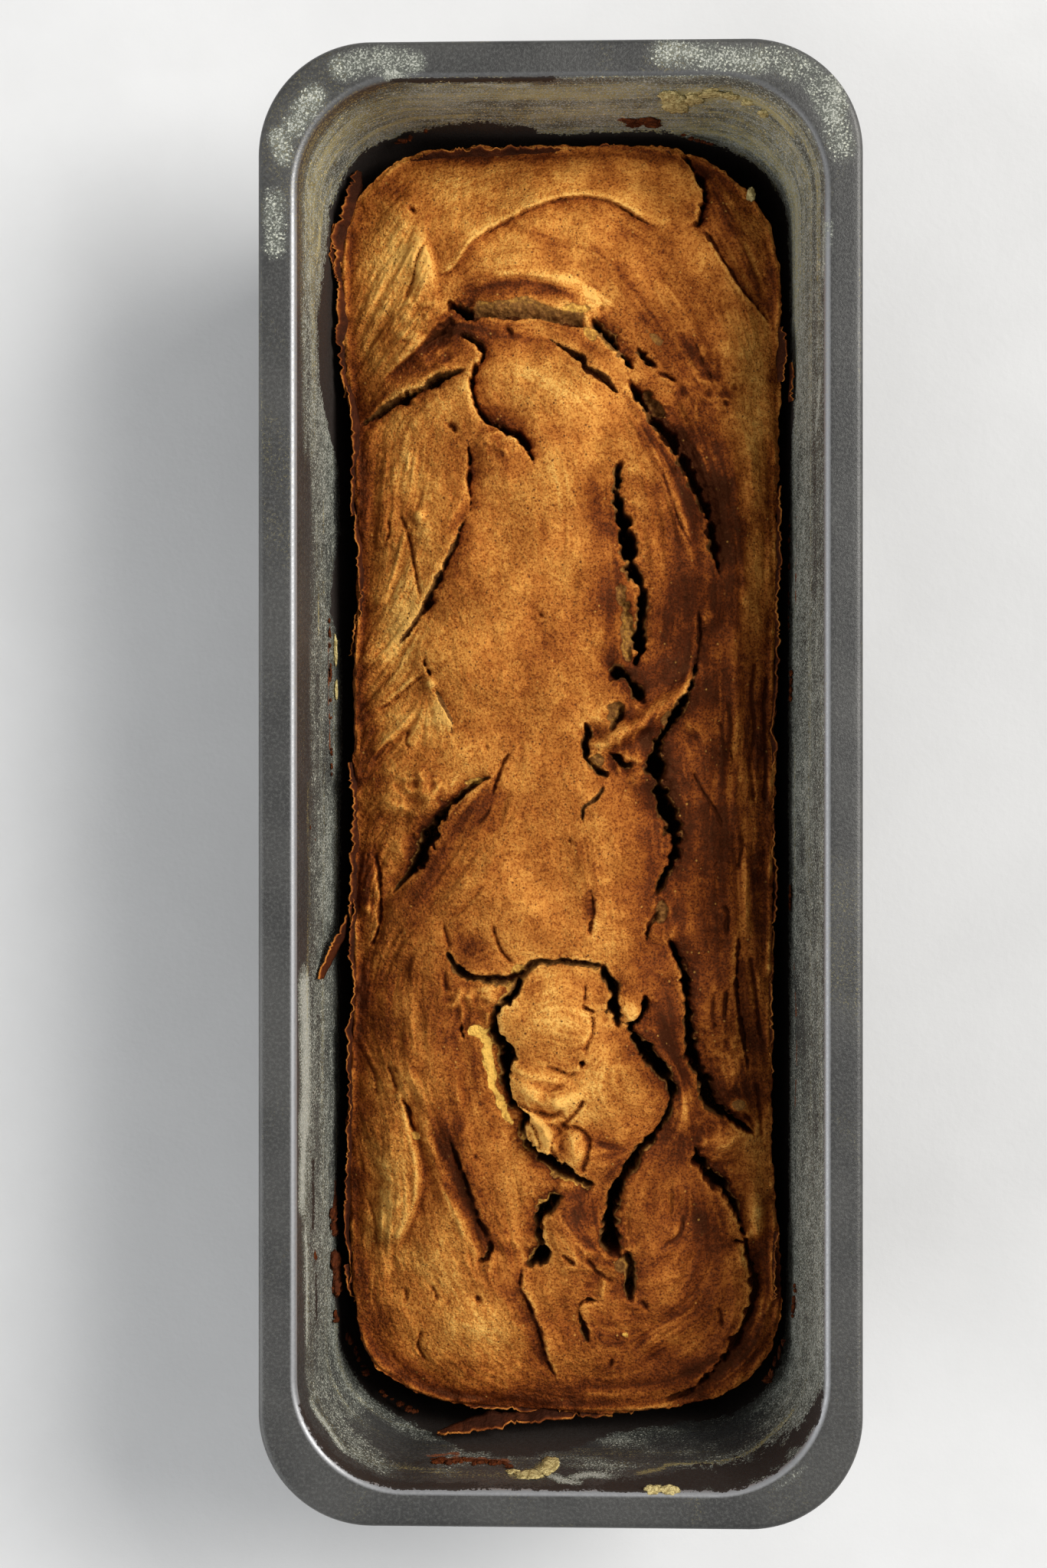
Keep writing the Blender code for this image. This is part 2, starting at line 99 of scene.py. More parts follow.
# Where the clean dust on the tin's inner wall ends and the burnt part below begins
TIDE_LINE = (
    (-50.3, 130.4, 41), (-52.5, 116.9, 46), (-53.6, 101.4, 53), (-53, 87.6, 51), (-52, 78, 42),
    (-50.3, 70, 34), (-50.1, 58, 33), (-51.5, 47, 40), (-51.7, 38, 42), (-50.6, 32, 33),
    (-49.6, 16.6, 31), (-50.2, -13.1, 33), (-50.3, -30.3, 33.8), (-50.2, -64.8, 33), (-50.2, -82, 35),
    (-50.3, -92, 39), (-50.3, -100, 36), (-50.3, -110.3, 39), (-50.2, -118, 36), (-47.5, -131.8, 30),
    (-43.1, -137.7, 30), (-36.6, -141.6, 32), (-31, -146, 37), (-27, -147, 43), (-21, -147, 50),
    (-8, -147, 52), (0, -146, 49), (6, -146, 44), (12, -145, 38), (28.3, -142.8, 31), (38.7, -141, 30),
    (45.5, -135.6, 30), (49.1, -125.7, 29), (50.5, -98.4, 34), (50.5, -64.2, 35), (50.3, -30, 34),
    (50.3, 4, 34), (50.3, 38.4, 34), (50.8, 74, 36.4), (51.3, 83.7, 39.6), (50.8, 94.4, 37),
    (50.5, 115.8, 35), (50, 126.3, 33), (46.2, 135.5, 32), (38.6, 141.2, 31), (31.7, 143.4, 33),
    (23, 144.7, 40), (14.5, 144.7, 40), (2.7, 144.5, 39), (-5.1, 144.4, 39), (-7.5, 145.3, 43),
    (-15.8, 145.8, 46.5), (-24.3, 145.6, 45.4), (-29.6, 145.1, 43), (-37.6, 143.3, 39.5),
    (-43.1, 141.4, 42),
)

# Strokes of dust, yellow oil, burnt residue and red-brown stain: amount, reach and a route of
# (x, y, z); an amount below nought wipes the kind away
TIN_STROKES = {
    "dust": (
        (-0.8, 4.6, ((-56, -62, 64), (-55.4, -20, 63), (-55.4, 30, 62), (-55.4, 66, 64))),
        (0.5, 3.4, ((-46, 152, 70), (-38, 153.6, 70), (-31, 152.8, 70))),
        (0.8, 1.8, ((-36, 150.4, 70), (-33.6, 150, 70))),
        (0.55, 2.6, ((-59.6, 137, 70), (-58.4, 133.6, 70))),
        (0.55, 3, ((-52, 146, 70), (-56, 140, 70))), (0.6, 3.2, ((57.4, 147, 70), (58, 140.6, 70))),
        (0.5, 3.6, ((22, 154.6, 70), (32, 153.4, 70), (42, 152.4, 70))),
        (0.4, 4, ((46, 153, 70), (54, 148, 70), (59.6, 134, 70))),
        (0.45, 3, ((-60.6, 124, 70), (-60.4, 114, 70))), (0.25, 1.8, ((46, -148, 70), (52, -144, 70))),
        (-0.8, 4.2, ((-37, -146, 49), (-33, -147, 54), (-31, -148, 60))),
        (-0.8, 4, ((-39, -145, 44), (-33, -146, 46), (-27, -146, 47))),
        (-0.8, 4, ((2, -146, 46), (8, -146.5, 48), (14, -147, 50))),
        (1, 4.6, ((-54.8, -44, 63), (-54.6, -54, 62), (-54.5, -66, 61.5), (-54.7, -74, 63))),
        (1, 3, ((-54.8, -74, 63), (-55, -82, 64), (-55, -89, 64.6))),
        (0.95, 1.1, ((-54.6, -96, 62), (-54.4, -106, 61), (-54, -120, 61))),
        (1, 1.2, ((55.2, 86, 65), (55, 80, 63), (54.9, 76, 61))),
        (0.9, 1.6, ((56, 118, 69), (56, 108, 68))),
        (0.95, 1.3, ((-1.4, -148.2, 62), (0.6, -148.5, 64.6), (3.4, -148.6, 65.4))),
        (0.95, 1.5, ((3.2, -148.4, 62.4), (6, -148.2, 60.8), (9.4, -148.2, 61.4))),
        (0.9, 1.2, ((-20, 149.2, 67), (-10, 149, 65), (-7, 149, 66))),
        (0.9, 1.5, ((-52.8, -133, 62), (-50, -138, 60), (-46, -142.4, 62))),
    ),
    "yellow": (
        (0.75, 1.5, ((-2.8, -147.2, 54.4), (-4.6, -147.8, 58.4), (-9.6, -148.3, 62))),
        (0.3, 2.4, ((-9.6, -148.3, 62), (-22, -148.4, 61), (-34, -147.6, 58))),
        (0.75, 0.9, ((17, -148, 60), (21, -147.8, 58), (23, -147.4, 55.5), (28, -147.3, 54.6),
            (34, -146.6, 54.2), (41, -144.4, 53), (46, -141.2, 51), (49.6, -136, 52))),
        (1.1, 2.6, ((23.4, 147.4, 55.4), (24.4, 148, 60), (30, 148.1, 60.4), (38, 147, 60))),
        (0.9, 1.6, ((26.4, 147, 54), (30, 147.2, 56), (36, 147.6, 60), (43, 145.4, 61),
            (49.3, 140, 60))),
        (0.8, 1, ((24, 145.4, 43.6), (32, 144.6, 40.6), (39, 142.4, 37.4), (46, 137, 37))),
        (0.7, 1, ((20, 146, 48), (30, 146, 46.6), (38, 144, 44), (46, 138.6, 42), (50, 130, 42))),
        (0.7, 1.1, ((28, 146.6, 51.6), (36, 145.6, 50), (43, 142, 48), (49, 135, 47))),
        (0.8, 1.1, ((-46, 140, 47), (-40, 144, 47), (-30, 146.4, 48.6), (-20, 146.6, 50))),
        (0.7, 1.1, ((-50.6, 133, 46), (-52.6, 124, 49), (-53.4, 114, 53))),
        (0.6, 1, ((-52, 130, 52), (-48, 140, 51), (-40, 145.4, 52), (-30, 147.2, 54))),
        (0.5, 0.9, ((54.9, 128, 62), (55.2, 118, 64), (55, 108, 62))),
        (0.7, 0.5, ((-53.4, 58, 52), (-53.4, 44, 52), (-53.2, 32, 51))),
        (0.65, 0.45, ((-52.6, 62, 47), (-52.7, 50, 48), (-52.6, 40, 47))),
    ),
    "residue": (
        (1, 9.6, ((31, -148, 63), (37, -146.6, 62.5), (43, -143.4, 62))),
        (1, 5.2, ((12, -149.2, 68), (20, -149, 66), (28, -148.4, 64))),
        (1, 5, ((46, -142, 62), (50, -137.6, 64), (53, -132, 67))),
        (0.85, 3.6, ((-53, -134, 69), (-48, -142.8, 68.4), (-36, -148.4, 68), (-20, -149.3, 68))),
        (0.75, 2.6, ((-20, -149.3, 68), (0, -149.3, 68), (14, -149.2, 68))),
        (1, 1.5, ((-34, 149.4, 68.8), (-20, 149.4, 68.8), (-2, 149.3, 68.8))),
        (0.85, 1.4, ((-53.9, -82, 56), (-53.8, -90, 56), (-53.7, -96, 56))),
        (0.8, 1.1, ((-53.4, -107, 53.6), (-53.3, -118, 53))),
        (0.75, 1.6, ((-31, -147.4, 56), (-29.4, -147.2, 54), (-27, -147, 52))),
        (0.55, 0.8, ((-53.4, -50, 52), (-53.4, -64, 51), (-53.2, -72, 50))),
    ),
    "stain": (
        (0.8, 1.6, ((-27, -147.3, 54.6), (-20, -147, 53.4), (-12, -147.2, 54.4))),
        (0.7, 1.2, ((-29, -147, 52), (-22, -146.6, 50))),
        (0.85, 1, ((12.8, 145.8, 46.6), (16, 145.8, 46.4), (19.5, 145.8, 46.2))),
        (0.8, 0.6, ((-51.2, 36, 42), (-51.9, 25, 43), (-51.5, 8, 42))),
        (0.75, 1.3, ((-51, -89, 37), (-51.2, -96, 38), (-50.8, -101, 37))),
        (0.6, 1, ((51, -40, 40), (51.3, -58, 42), (51, -75, 40))),
        (0.6, 1.2, ((51.4, -112, 42), (50.4, -118, 40))),
        (0.55, 1.1, ((-48, -126, 34), (-44, -134, 34), (-37, -139.6, 34), (-31, -142, 34))),
        (0.55, 0.8, ((52, 60, 42), (51.6, 40, 41))),
    ),
}

# Loaf
LOAF_EDGE_HEIGHT = 38.6
LOAF_CROWN = 12.0
LOAF_BASE_Z = 1.2
LOAF_BASE_SCALE = (0.925, 0.972)
LOAF_BASE_ROUNDING = 3.0
DOME_HALF_WIDTH = 47.5
DOME_HALF_LENGTH = 140.5
LOAF_COLUMNS = 300
LOAF_ROWS = 880
LOAF_SIDE_LEVELS = 26
OUTLINE_STEP = 0.35
OUTLINE_RAG = 0.42
EDGE_REACH = 12.0
DEEPEST_CRACK = 28.0
ROUTE_STEP = 1.5

# The loaf's outline at its top edge, seen from above, anticlockwise from the right side
OUTLINE = (
    (48.3, 104), (48.2, 113), (46, 123.5), (40.5, 131.5), (33, 137.8), (21, 141.3), (0, 141.8),
    (-22, 141.5), (-35, 139.4), (-41.5, 134), (-47, 128), (-49.2, 117), (-48.6, 98), (-46.6, 72),
    (-45.6, 45), (-46.8, 25), (-46.3, 2), (-47.2, -22), (-46.6, -44), (-47.6, -62), (-47.8, -88),
    (-46.8, -110), (-44.2, -125), (-38.5, -131.5), (-29, -136.6), (-14, -138.4), (10, -139.2),
    (28, -137.4), (38, -134), (45, -127), (48.1, -117), (48.3, -105), (46.9, -88), (46.2, -60),
    (46.6, -20), (47, 20), (47.7, 62),
)
OUTLINE_CORNERS = ((-41.5, -129), (41.5, -131), (43, 129), (-44.5, 132))

# Open cracks and tears.  Each has its depth, the rise of the crust to the left and right of the
# way it runs, the width of torn crumb on those two sides, and a route of (x, y, width)
CRACKS = {
    "far arc": (2.2, 0.7, -0.5, 0, 0, ((-27.5, 112, 0.4), (-24.5, 113, 0.5), (-22, 116, 0.4),
        (-20, 119, 0.5), (-17.3, 121, 0.7), (-12.8, 123.6, 0.8), (-7.5, 126.3, 0.8), (-2, 128.5, 0.7),
        (4, 129.4, 0.3), (10.5, 128.3, 0.4), (15, 125.7, 0.8), (17, 124.3, 0.7), (20.8, 122.3, 0.4))),
    "far hole": (12, 0, 0.3, 0.6, 0, ((-24.5, 105.8, 1.6), (-22, 104, 2.8), (-19.5, 102.5, 1.6))),
    "far tear": (4.6, 0.8, 0.6, 3.6, 0, ((-20, 103, 0.7), (-16, 102.6, 0.8), (-12, 102.2, 0.9),
        (-6, 102.2, 0.9), (-1, 101.2, 0.9), (5, 100.2, 0.8))),
    "far split": (9, -0.3, 0.5, 0.6, 1.1, ((6.6, 101.7, 1.2), (9, 99.3, 1.7), (11, 96.8, 1.9),
        (13, 94, 1.7), (15.5, 91, 1))),
    "second split": (5, 0.2, 0.2, 0, 0.4, ((16.5, 95.7, 0.8), (18, 93.6, 1.5), (20.7, 91.2, 0.8))),
    "split tail": (3, 0, 0.4, 0, 0, ((20.4, 89.9, 0.6), (22.8, 89.4, 0.9), (25.2, 87.9, 0.6))),
    "left flap top": (2, 1.1, -1.2, 0, 0, ((-39.6, 89.5, 0.6), (-36, 92.4, 0.8), (-32.4, 95, 1),
        (-29.2, 98, 1.2), (-25.8, 100.5, 1.5), (-23.7, 102.3, 1.5))),
    "left flap foot": (7, -0.4, 1, 0, 0.5, ((-21, 91.3, 0.7), (-25, 89.8, 1), (-28, 88.7, 1.6),
        (-30.5, 87.3, 2), (-34, 85.8, 1.7), (-37, 84.3, 1.4), (-40, 82.5, 1.1), (-44.5, 80, 0.8))),
    "bent split": (6, -0.2, 0.7, 0.2, 0, ((-22.5, 98.7, 0.8), (-20.5, 98, 0.9), (-18.5, 96.5, 1.2),
        (-17.3, 95.3, 1.4), (-17.3, 93.5, 1.2), (-18.8, 91.5, 1), (-19.8, 89, 1.3), (-19.7, 87.2, 1.1),
        (-19.3, 84.6, 0.7), (-18.4, 82.3, 1.1), (-16, 79.3, 1.5), (-12.6, 77.6, 1.7), (-9.6, 76.3, 1.5),
        (-7.6, 73.5, 1.4), (-6.1, 70, 0.6))),
    "middle split": (4, 0.3, 0.3, 0.4, 0, ((-3, 97.5, 0.6), (1, 95, 0.9), (2.5, 94, 1.3),
        (4.4, 92.8, 1.4), (5, 90.6, 0.8), (7, 89.7, 0.9), (9, 88.3, 1.1), (10.5, 86.8, 1.1),
        (12.9, 84.8, 0.7))),
    "far right fold": (5, -0.6, 0.6, 0, 0, ((27, 139.5, 1.4), (29, 136.5, 1.5), (30.8, 134, 2),
        (31.3, 131, 1.6), (31, 128, 1.8), (30.3, 124, 1.4), (28.5, 123, 0.8))),
    "far right groove": (2.5, -0.9, 0.5, 0, 0, ((30.8, 122.5, 0.8), (33, 119.5, 0.9), (35, 116, 0.8),
        (37, 113, 0.9), (39, 110, 0.8), (41, 107.5, 0.8), (43, 105.5, 0.8), (45.7, 102.3, 0.8))),
    "right valley": (6.4, -1.3, 0.6, 0, 0.2, ((15, 87.7, 0.9), (16.3, 85.6, 1.6), (18.2, 82.6, 2.6),
        (20.6, 79.2, 2.6), (23.2, 76, 2.4), (25.2, 72.6, 2.8), (27.6, 68.2, 3), (30, 63.6, 3),
        (31.9, 58.6, 2.9), (32.8, 54.5, 2.4), (33.4, 50.5, 1.8), (34.5, 46, 0.8))),
    "black crack": (14, 0.3, 0.4, 0.4, 0.6, ((12.9, 69.9, 0.8), (12, 68, 1), (12.4, 66.3, 1.6),
        (12, 64, 2), (12.9, 60, 2.1), (13.3, 57, 2.6), (14, 54, 2.9), (14.6, 51, 3), (15.4, 48.3, 2.2),
        (16.3, 45, 3.4), (17.4, 42, 3.4), (17.5, 39, 2.6), (17.3, 36, 2), (17, 32, 2.2),
        (17, 29.4, 2.3), (16.4, 27.2, 1.8), (15.9, 25, 1.1))),
    "crack end": (12, 0.2, 0.2, 0.5, 0.3, ((10.9, 23.2, 1.5), (12.2, 24.3, 2.6), (14.2, 23.6, 1.8),
        (15.6, 21.6, 2.4), (16.8, 19.6, 2.9), (17.6, 18.4, 1.2))),
    "pit edge": (4, 0, 0, 0, 0.6, ((13.7, 17.4, 0.8), (13.2, 15, 1.3), (12, 13.2, 1.3),
        (10.7, 11.2, 0.8))),
    "curl slit": (7, 0.3, 0.3, 0.6, 0.3, ((4.9, 13.4, 0.7), (5.7, 11.6, 1.5), (5, 9.2, 2),
        (5.4, 7.2, 1.6), (5.2, 5.8, 0.9), (6.6, 3.9, 1.2), (8.6, 2.3, 1.4), (10.4, 2.2, 0.6))),
    "curl foot": (6, 0.3, 0, 0, 0.5, ((10.1, 7, 0.8), (11.8, 6, 1.7), (13.6, 4.7, 1.9),
        (15.6, 4.5, 1.1))),
    "rope soft end": (3, -0.3, 0.2, 0, 0, ((30, 38, 0.7), (30, 33, 0.9), (29.9, 29, 1.2),
        (29.2, 26, 1.4))),
    "rope crack": (14, 0, 0.4, 0.4, 0.2, ((29.3, 26.4, 0.8), (28.5, 22.4, 1.1), (27.2, 19.2, 1.6),
        (25.6, 16.7, 1.8), (24.2, 14.5, 1.6), (22.6, 11.8, 1.6), (21.2, 9.2, 2), (20.3, 6.2, 3),
        (20.6, 2.4, 5.2), (21.4, -1.2, 5.4), (22.6, -4.8, 3.8), (24, -9.4, 3.8), (24.6, -13, 2.6),
        (24, -16.6, 2.5), (22.6, -19.8, 1.3), (20.5, -24, 0.7))),
    "rope crack foot": (4, 0, 0.3, 0.5, 0, ((21.2, -27.4, 0.8), (20.2, -29.3, 0.9), (19, -31, 1),
        (18.4, -34.4, 0.8))),
    "right crack": (12, -0.3, 0.3, 0.3, 0.2, ((23.6, -34.4, 0.9), (25, -37.6, 1.7), (26.6, -41.6, 1.6),
        (27.4, -47, 1.3), (27.7, -53, 1.4), (28, -57.2, 2), (29.2, -61, 3), (30.9, -65.4, 3.6),
        (32, -69.3, 4), (34.4, -71.9, 2.6), (38, -74.3, 1.4), (42, -77, 0.8))),
    "right hole": (10, -0.6, 0.5, 0.6, 0, ((29, -79, 0.7), (29.9, -82.6, 2.8), (31.8, -85.4, 3),
        (34.2, -87.7, 2.3), (36.3, -91, 1.6), (38, -94, 1.3), (40, -99.5, 1.4))),
    "collar shade": (4, 0, 0, 0, 0, ((36.4, -100.4, 1), (38.6, -100.9, 1.9), (41, -101.6, 1.5))),
    "collar groove": (4.2, -0.9, 0.5, 0, 0, ((40, -100, 1.4), (41, -105, 1.5), (42, -108, 1.6),
        (42.5, -112, 1.7), (42, -115, 1.6), (41, -118, 1.6), (39.5, -121, 1.8), (38, -124, 1.8),
        (36.5, -126, 1.7), (32, -131, 1.7), (27, -135, 1.3), (23, -136.5, 0.9))),
    "cross crack": (6, 0.3, 0.2, 0.3, 0.6, ((-25, -36.3, 0.8), (-24, -38.9, 1.3), (-21.4, -41.6, 1.6),
        (-18.4, -42.4, 1.2), (-15, -42.5, 1.4), (-12.6, -42.9, 1.4), (-9.4, -41.9, 1.4),
        (-7.6, -40.2, 1.1), (-5.3, -38.5, 0.8), (-2.5, -38.9, 0.6), (0, -38.6, 0.8), (3, -38.9, 0.7),
        (5, -39, 0.5), (9, -39.8, 0.5))),
    "knob right": (10, 0.3, 0.3, 0.4, 0.3, ((8.9, -39.5, 0.8), (9.6, -41.5, 1.3), (11.4, -44.6, 1.6),
        (11.8, -46.6, 1.6), (11.3, -48.6, 3.2), (12.2, -50.6, 2.3), (12.3, -52.8, 1))),
    "lobe crack": (14, 0.2, 0.5, 0.5, 0.3, ((18.3, -46.8, 1.1), (17.9, -49.4, 1.3), (16.6, -51.6, 1.2),
        (14.8, -53.2, 1.7), (15.8, -54.8, 2), (17.2, -56.6, 2.7), (19.4, -59.3, 2.9),
        (21.7, -62.6, 2.2), (23.9, -66.2, 1.5), (23.6, -69.8, 0.7), (22.4, -73, 1), (20.2, -76.4, 1.2),
        (17.2, -79.7, 1.3), (15.1, -83, 1.6), (13, -86.3, 1.7), (11, -90.5, 2.6), (10.5, -95, 3.6),
        (10.7, -98.6, 4.2), (11.7, -102.6, 2.7))),
    "lobe crack end": (8, 0.3, 0.1, 0.4, 0.8, ((14, -102.6, 1.2), (15.3, -105.4, 1.3),
        (15.1, -108.6, 1.1), (14.6, -110.4, 1.6), (15.2, -113.2, 0.7))),
    "knob left": (12, 0.6, -0.3, 0.2, 1.2, ((-9, -42.4, 1.7), (-10.2, -45.4, 1.9), (-11.8, -47.6, 1.6),
        (-14, -49.4, 1.3), (-14.6, -52.2, 1.2), (-14.2, -55, 1.3), (-12.2, -57.5, 2),
        (-11.8, -60.2, 2.6), (-12.1, -63.2, 1.6), (-11.6, -66.8, 1.4), (-10.9, -69.6, 1.6),
        (-9.2, -71.2, 1), (-7.9, -72.7, 1.9), (-8.1, -75.4, 1.8), (-7.2, -78.5, 2), (-5, -81.2, 2),
        (-2, -83.2, 2.3), (1.6, -85, 1.8), (5.2, -87, 1.7), (7, -87.4, 0.9))),
    "left slot": (4, 0.2, 0.2, 0, 0, ((-22, -52.3, 0.8), (-21.9, -54, 1.1), (-21.3, -56, 0.6))),
    "near crescent": (11, 0.4, -0.2, 0.2, 0.8, ((0.5, -90.1, 0.9), (-2, -91.4, 1.9), (-4.6, -94, 2.4),
        (-5, -96.6, 2), (-4.5, -99.3, 1), (-3.7, -101.8, 1.8), (-4.4, -103.6, 2.4), (-6.4, -105, 1.7),
        (-8, -105.6, 0.8))),
    "near fold": (1.8, 0.7, -0.5, 0, 0, ((-8.6, -106, 0.7), (-9, -110, 1), (-6.6, -115.5, 1.1),
        (-4.8, -121, 1.1), (-3.3, -127, 1), (-1.5, -131.5, 0.7))),
    "near curl": (4.2, 0.4, 0, 0, 0.3, ((8, -113.5, 0.6), (4.9, -113.5, 0.8), (3.8, -115, 0.9),
        (4.2, -117.6, 0.9), (5, -120.6, 1.1), (5.9, -123, 0.9))),
    "left split top": (4.4, -0.2, 0.5, 0, 0, ((-20.5, 74.4, 0.7), (-20.2, 72, 1.2), (-20.3, 68, 1.4),
        (-20.4, 65.4, 1.1), (-20, 62.6, 0.7), (-20.1, 59.6, 0.8))),
    "left split": (4.6, -0.2, 0.6, 0, 0.4, ((-21, 58.2, 0.8), (-22.4, 55.4, 1.1), (-23.1, 52.4, 0.9),
        (-24.9, 49.6, 1), (-26.3, 46.6, 1.2), (-28.1, 43.2, 1.7), (-29.9, 39.4, 1.5),
        (-31.8, 36.2, 0.8), (-34, 33.2, 0.8), (-36.4, 30.4, 0.7))),
    "left nick": (3.6, 0, 0.3, 0, 0, ((-30.1, 27.9, 0.7), (-30.3, 26.3, 1), (-29.3, 24.6, 1.3),
        (-28.7, 23.4, 0.9))),
    "left lip edge": (1.4, -0.7, 0.9, 0, 0.4, ((-28, 21.2, 0.6), (-26.4, 18.9, 0.8), (-25.4, 17, 0.7),
        (-23.9, 13.6, 0.6), (-24.2, 10.4, 0.6))),
    "left gap": (9, 0.8, -0.6, 0, 0.5, ((-15.6, 1.4, 0.5), (-18.5, 0.2, 0.8), (-21.4, -2, 1.1),
        (-24.4, -4.6, 2), (-26.8, -7.6, 3.4), (-28.8, -11.3, 4.4), (-30.6, -14.8, 3.2),
        (-32, -17.8, 1.8), (-34.4, -20.8, 0.9), (-37.3, -24, 0.6))),
    "left gap twig": (2.4, 0.2, 0.2, 0, 0, ((-10.8, 6.9, 0.6), (-12.6, 5.2, 0.9), (-13.3, 3, 0.7),
        (-14.3, 0.6, 0.8), (-15, -2.5, 0.6))),
    "left edge split": (3, -0.3, 0.5, 0, 0, ((-41.5, -15.6, 0.7), (-40.6, -21, 0.9), (-40.3, -27, 1.1),
        (-40.8, -32, 0.9), (-42.5, -36, 0.7))),
    "small right split": (4, 0.2, 0.3, 0.2, 0.4, ((9.3, -0.4, 0.7), (8.5, -2, 0.8), (7, -3.7, 0.7),
        (5, -5, 0.9), (4.6, -6.6, 1.2), (4.8, -8.6, 0.6))),
    "middle right crease": (2.6, 0.4, -0.2, 0, 0, ((6.2, -22.8, 0.5), (7, -26, 0.6), (7.1, -28.6, 0.9),
        (6.3, -31, 0.8), (6.3, -33.2, 0.6))),
    "left pale split": (3, -0.3, 0.3, 0, 0, ((-35.4, -69.2, 0.6), (-34, -72, 1), (-33.4, -75, 1),
        (-32.2, -77.4, 0.6))),
    "left long fold": (2.8, 0.5, -0.5, 0, 0, ((-24.6, -78.2, 0.6), (-23.2, -81.5, 1.2),
        (-21.4, -86, 1.1), (-19.6, -91.5, 1.2), (-18, -96, 1.2), (-16, -99.5, 1.2))),
    "left long fold end": (5, 0, 0.3, 0.4, 0, ((-18.6, -105, 0.8), (-16.6, -104.3, 1),
        (-15.6, -102, 1.1), (-15.8, -100, 0.7))),
    "right edge groove": (2.8, -0.4, 0.2, 0, 0, ((39, -33, 0.8), (38.5, -39, 1.1), (38.3, -45, 1.1),
        (39.3, -53, 1), (40.2, -58, 1), (41, -63, 0.7))),
    "knob slit": (2.2, 0.5, 0.2, 0, 0, ((-3.9, -66, 0.6), (-3, -67, 0.7), (-1.5, -66.5, 0.7),
        (0.6, -65.4, 0.5))),
    "knob hole": (4, 0, 0, 0, 0, ((4.9, -59.6, 0.7), (4.5, -61, 1.2), (4.2, -62, 0.6))),
    "knob split": (2.6, 0, 0.2, 0, 0, ((4, -48.4, 0.7), (6, -49.2, 0.9), (7.6, -50, 0.7))),
}

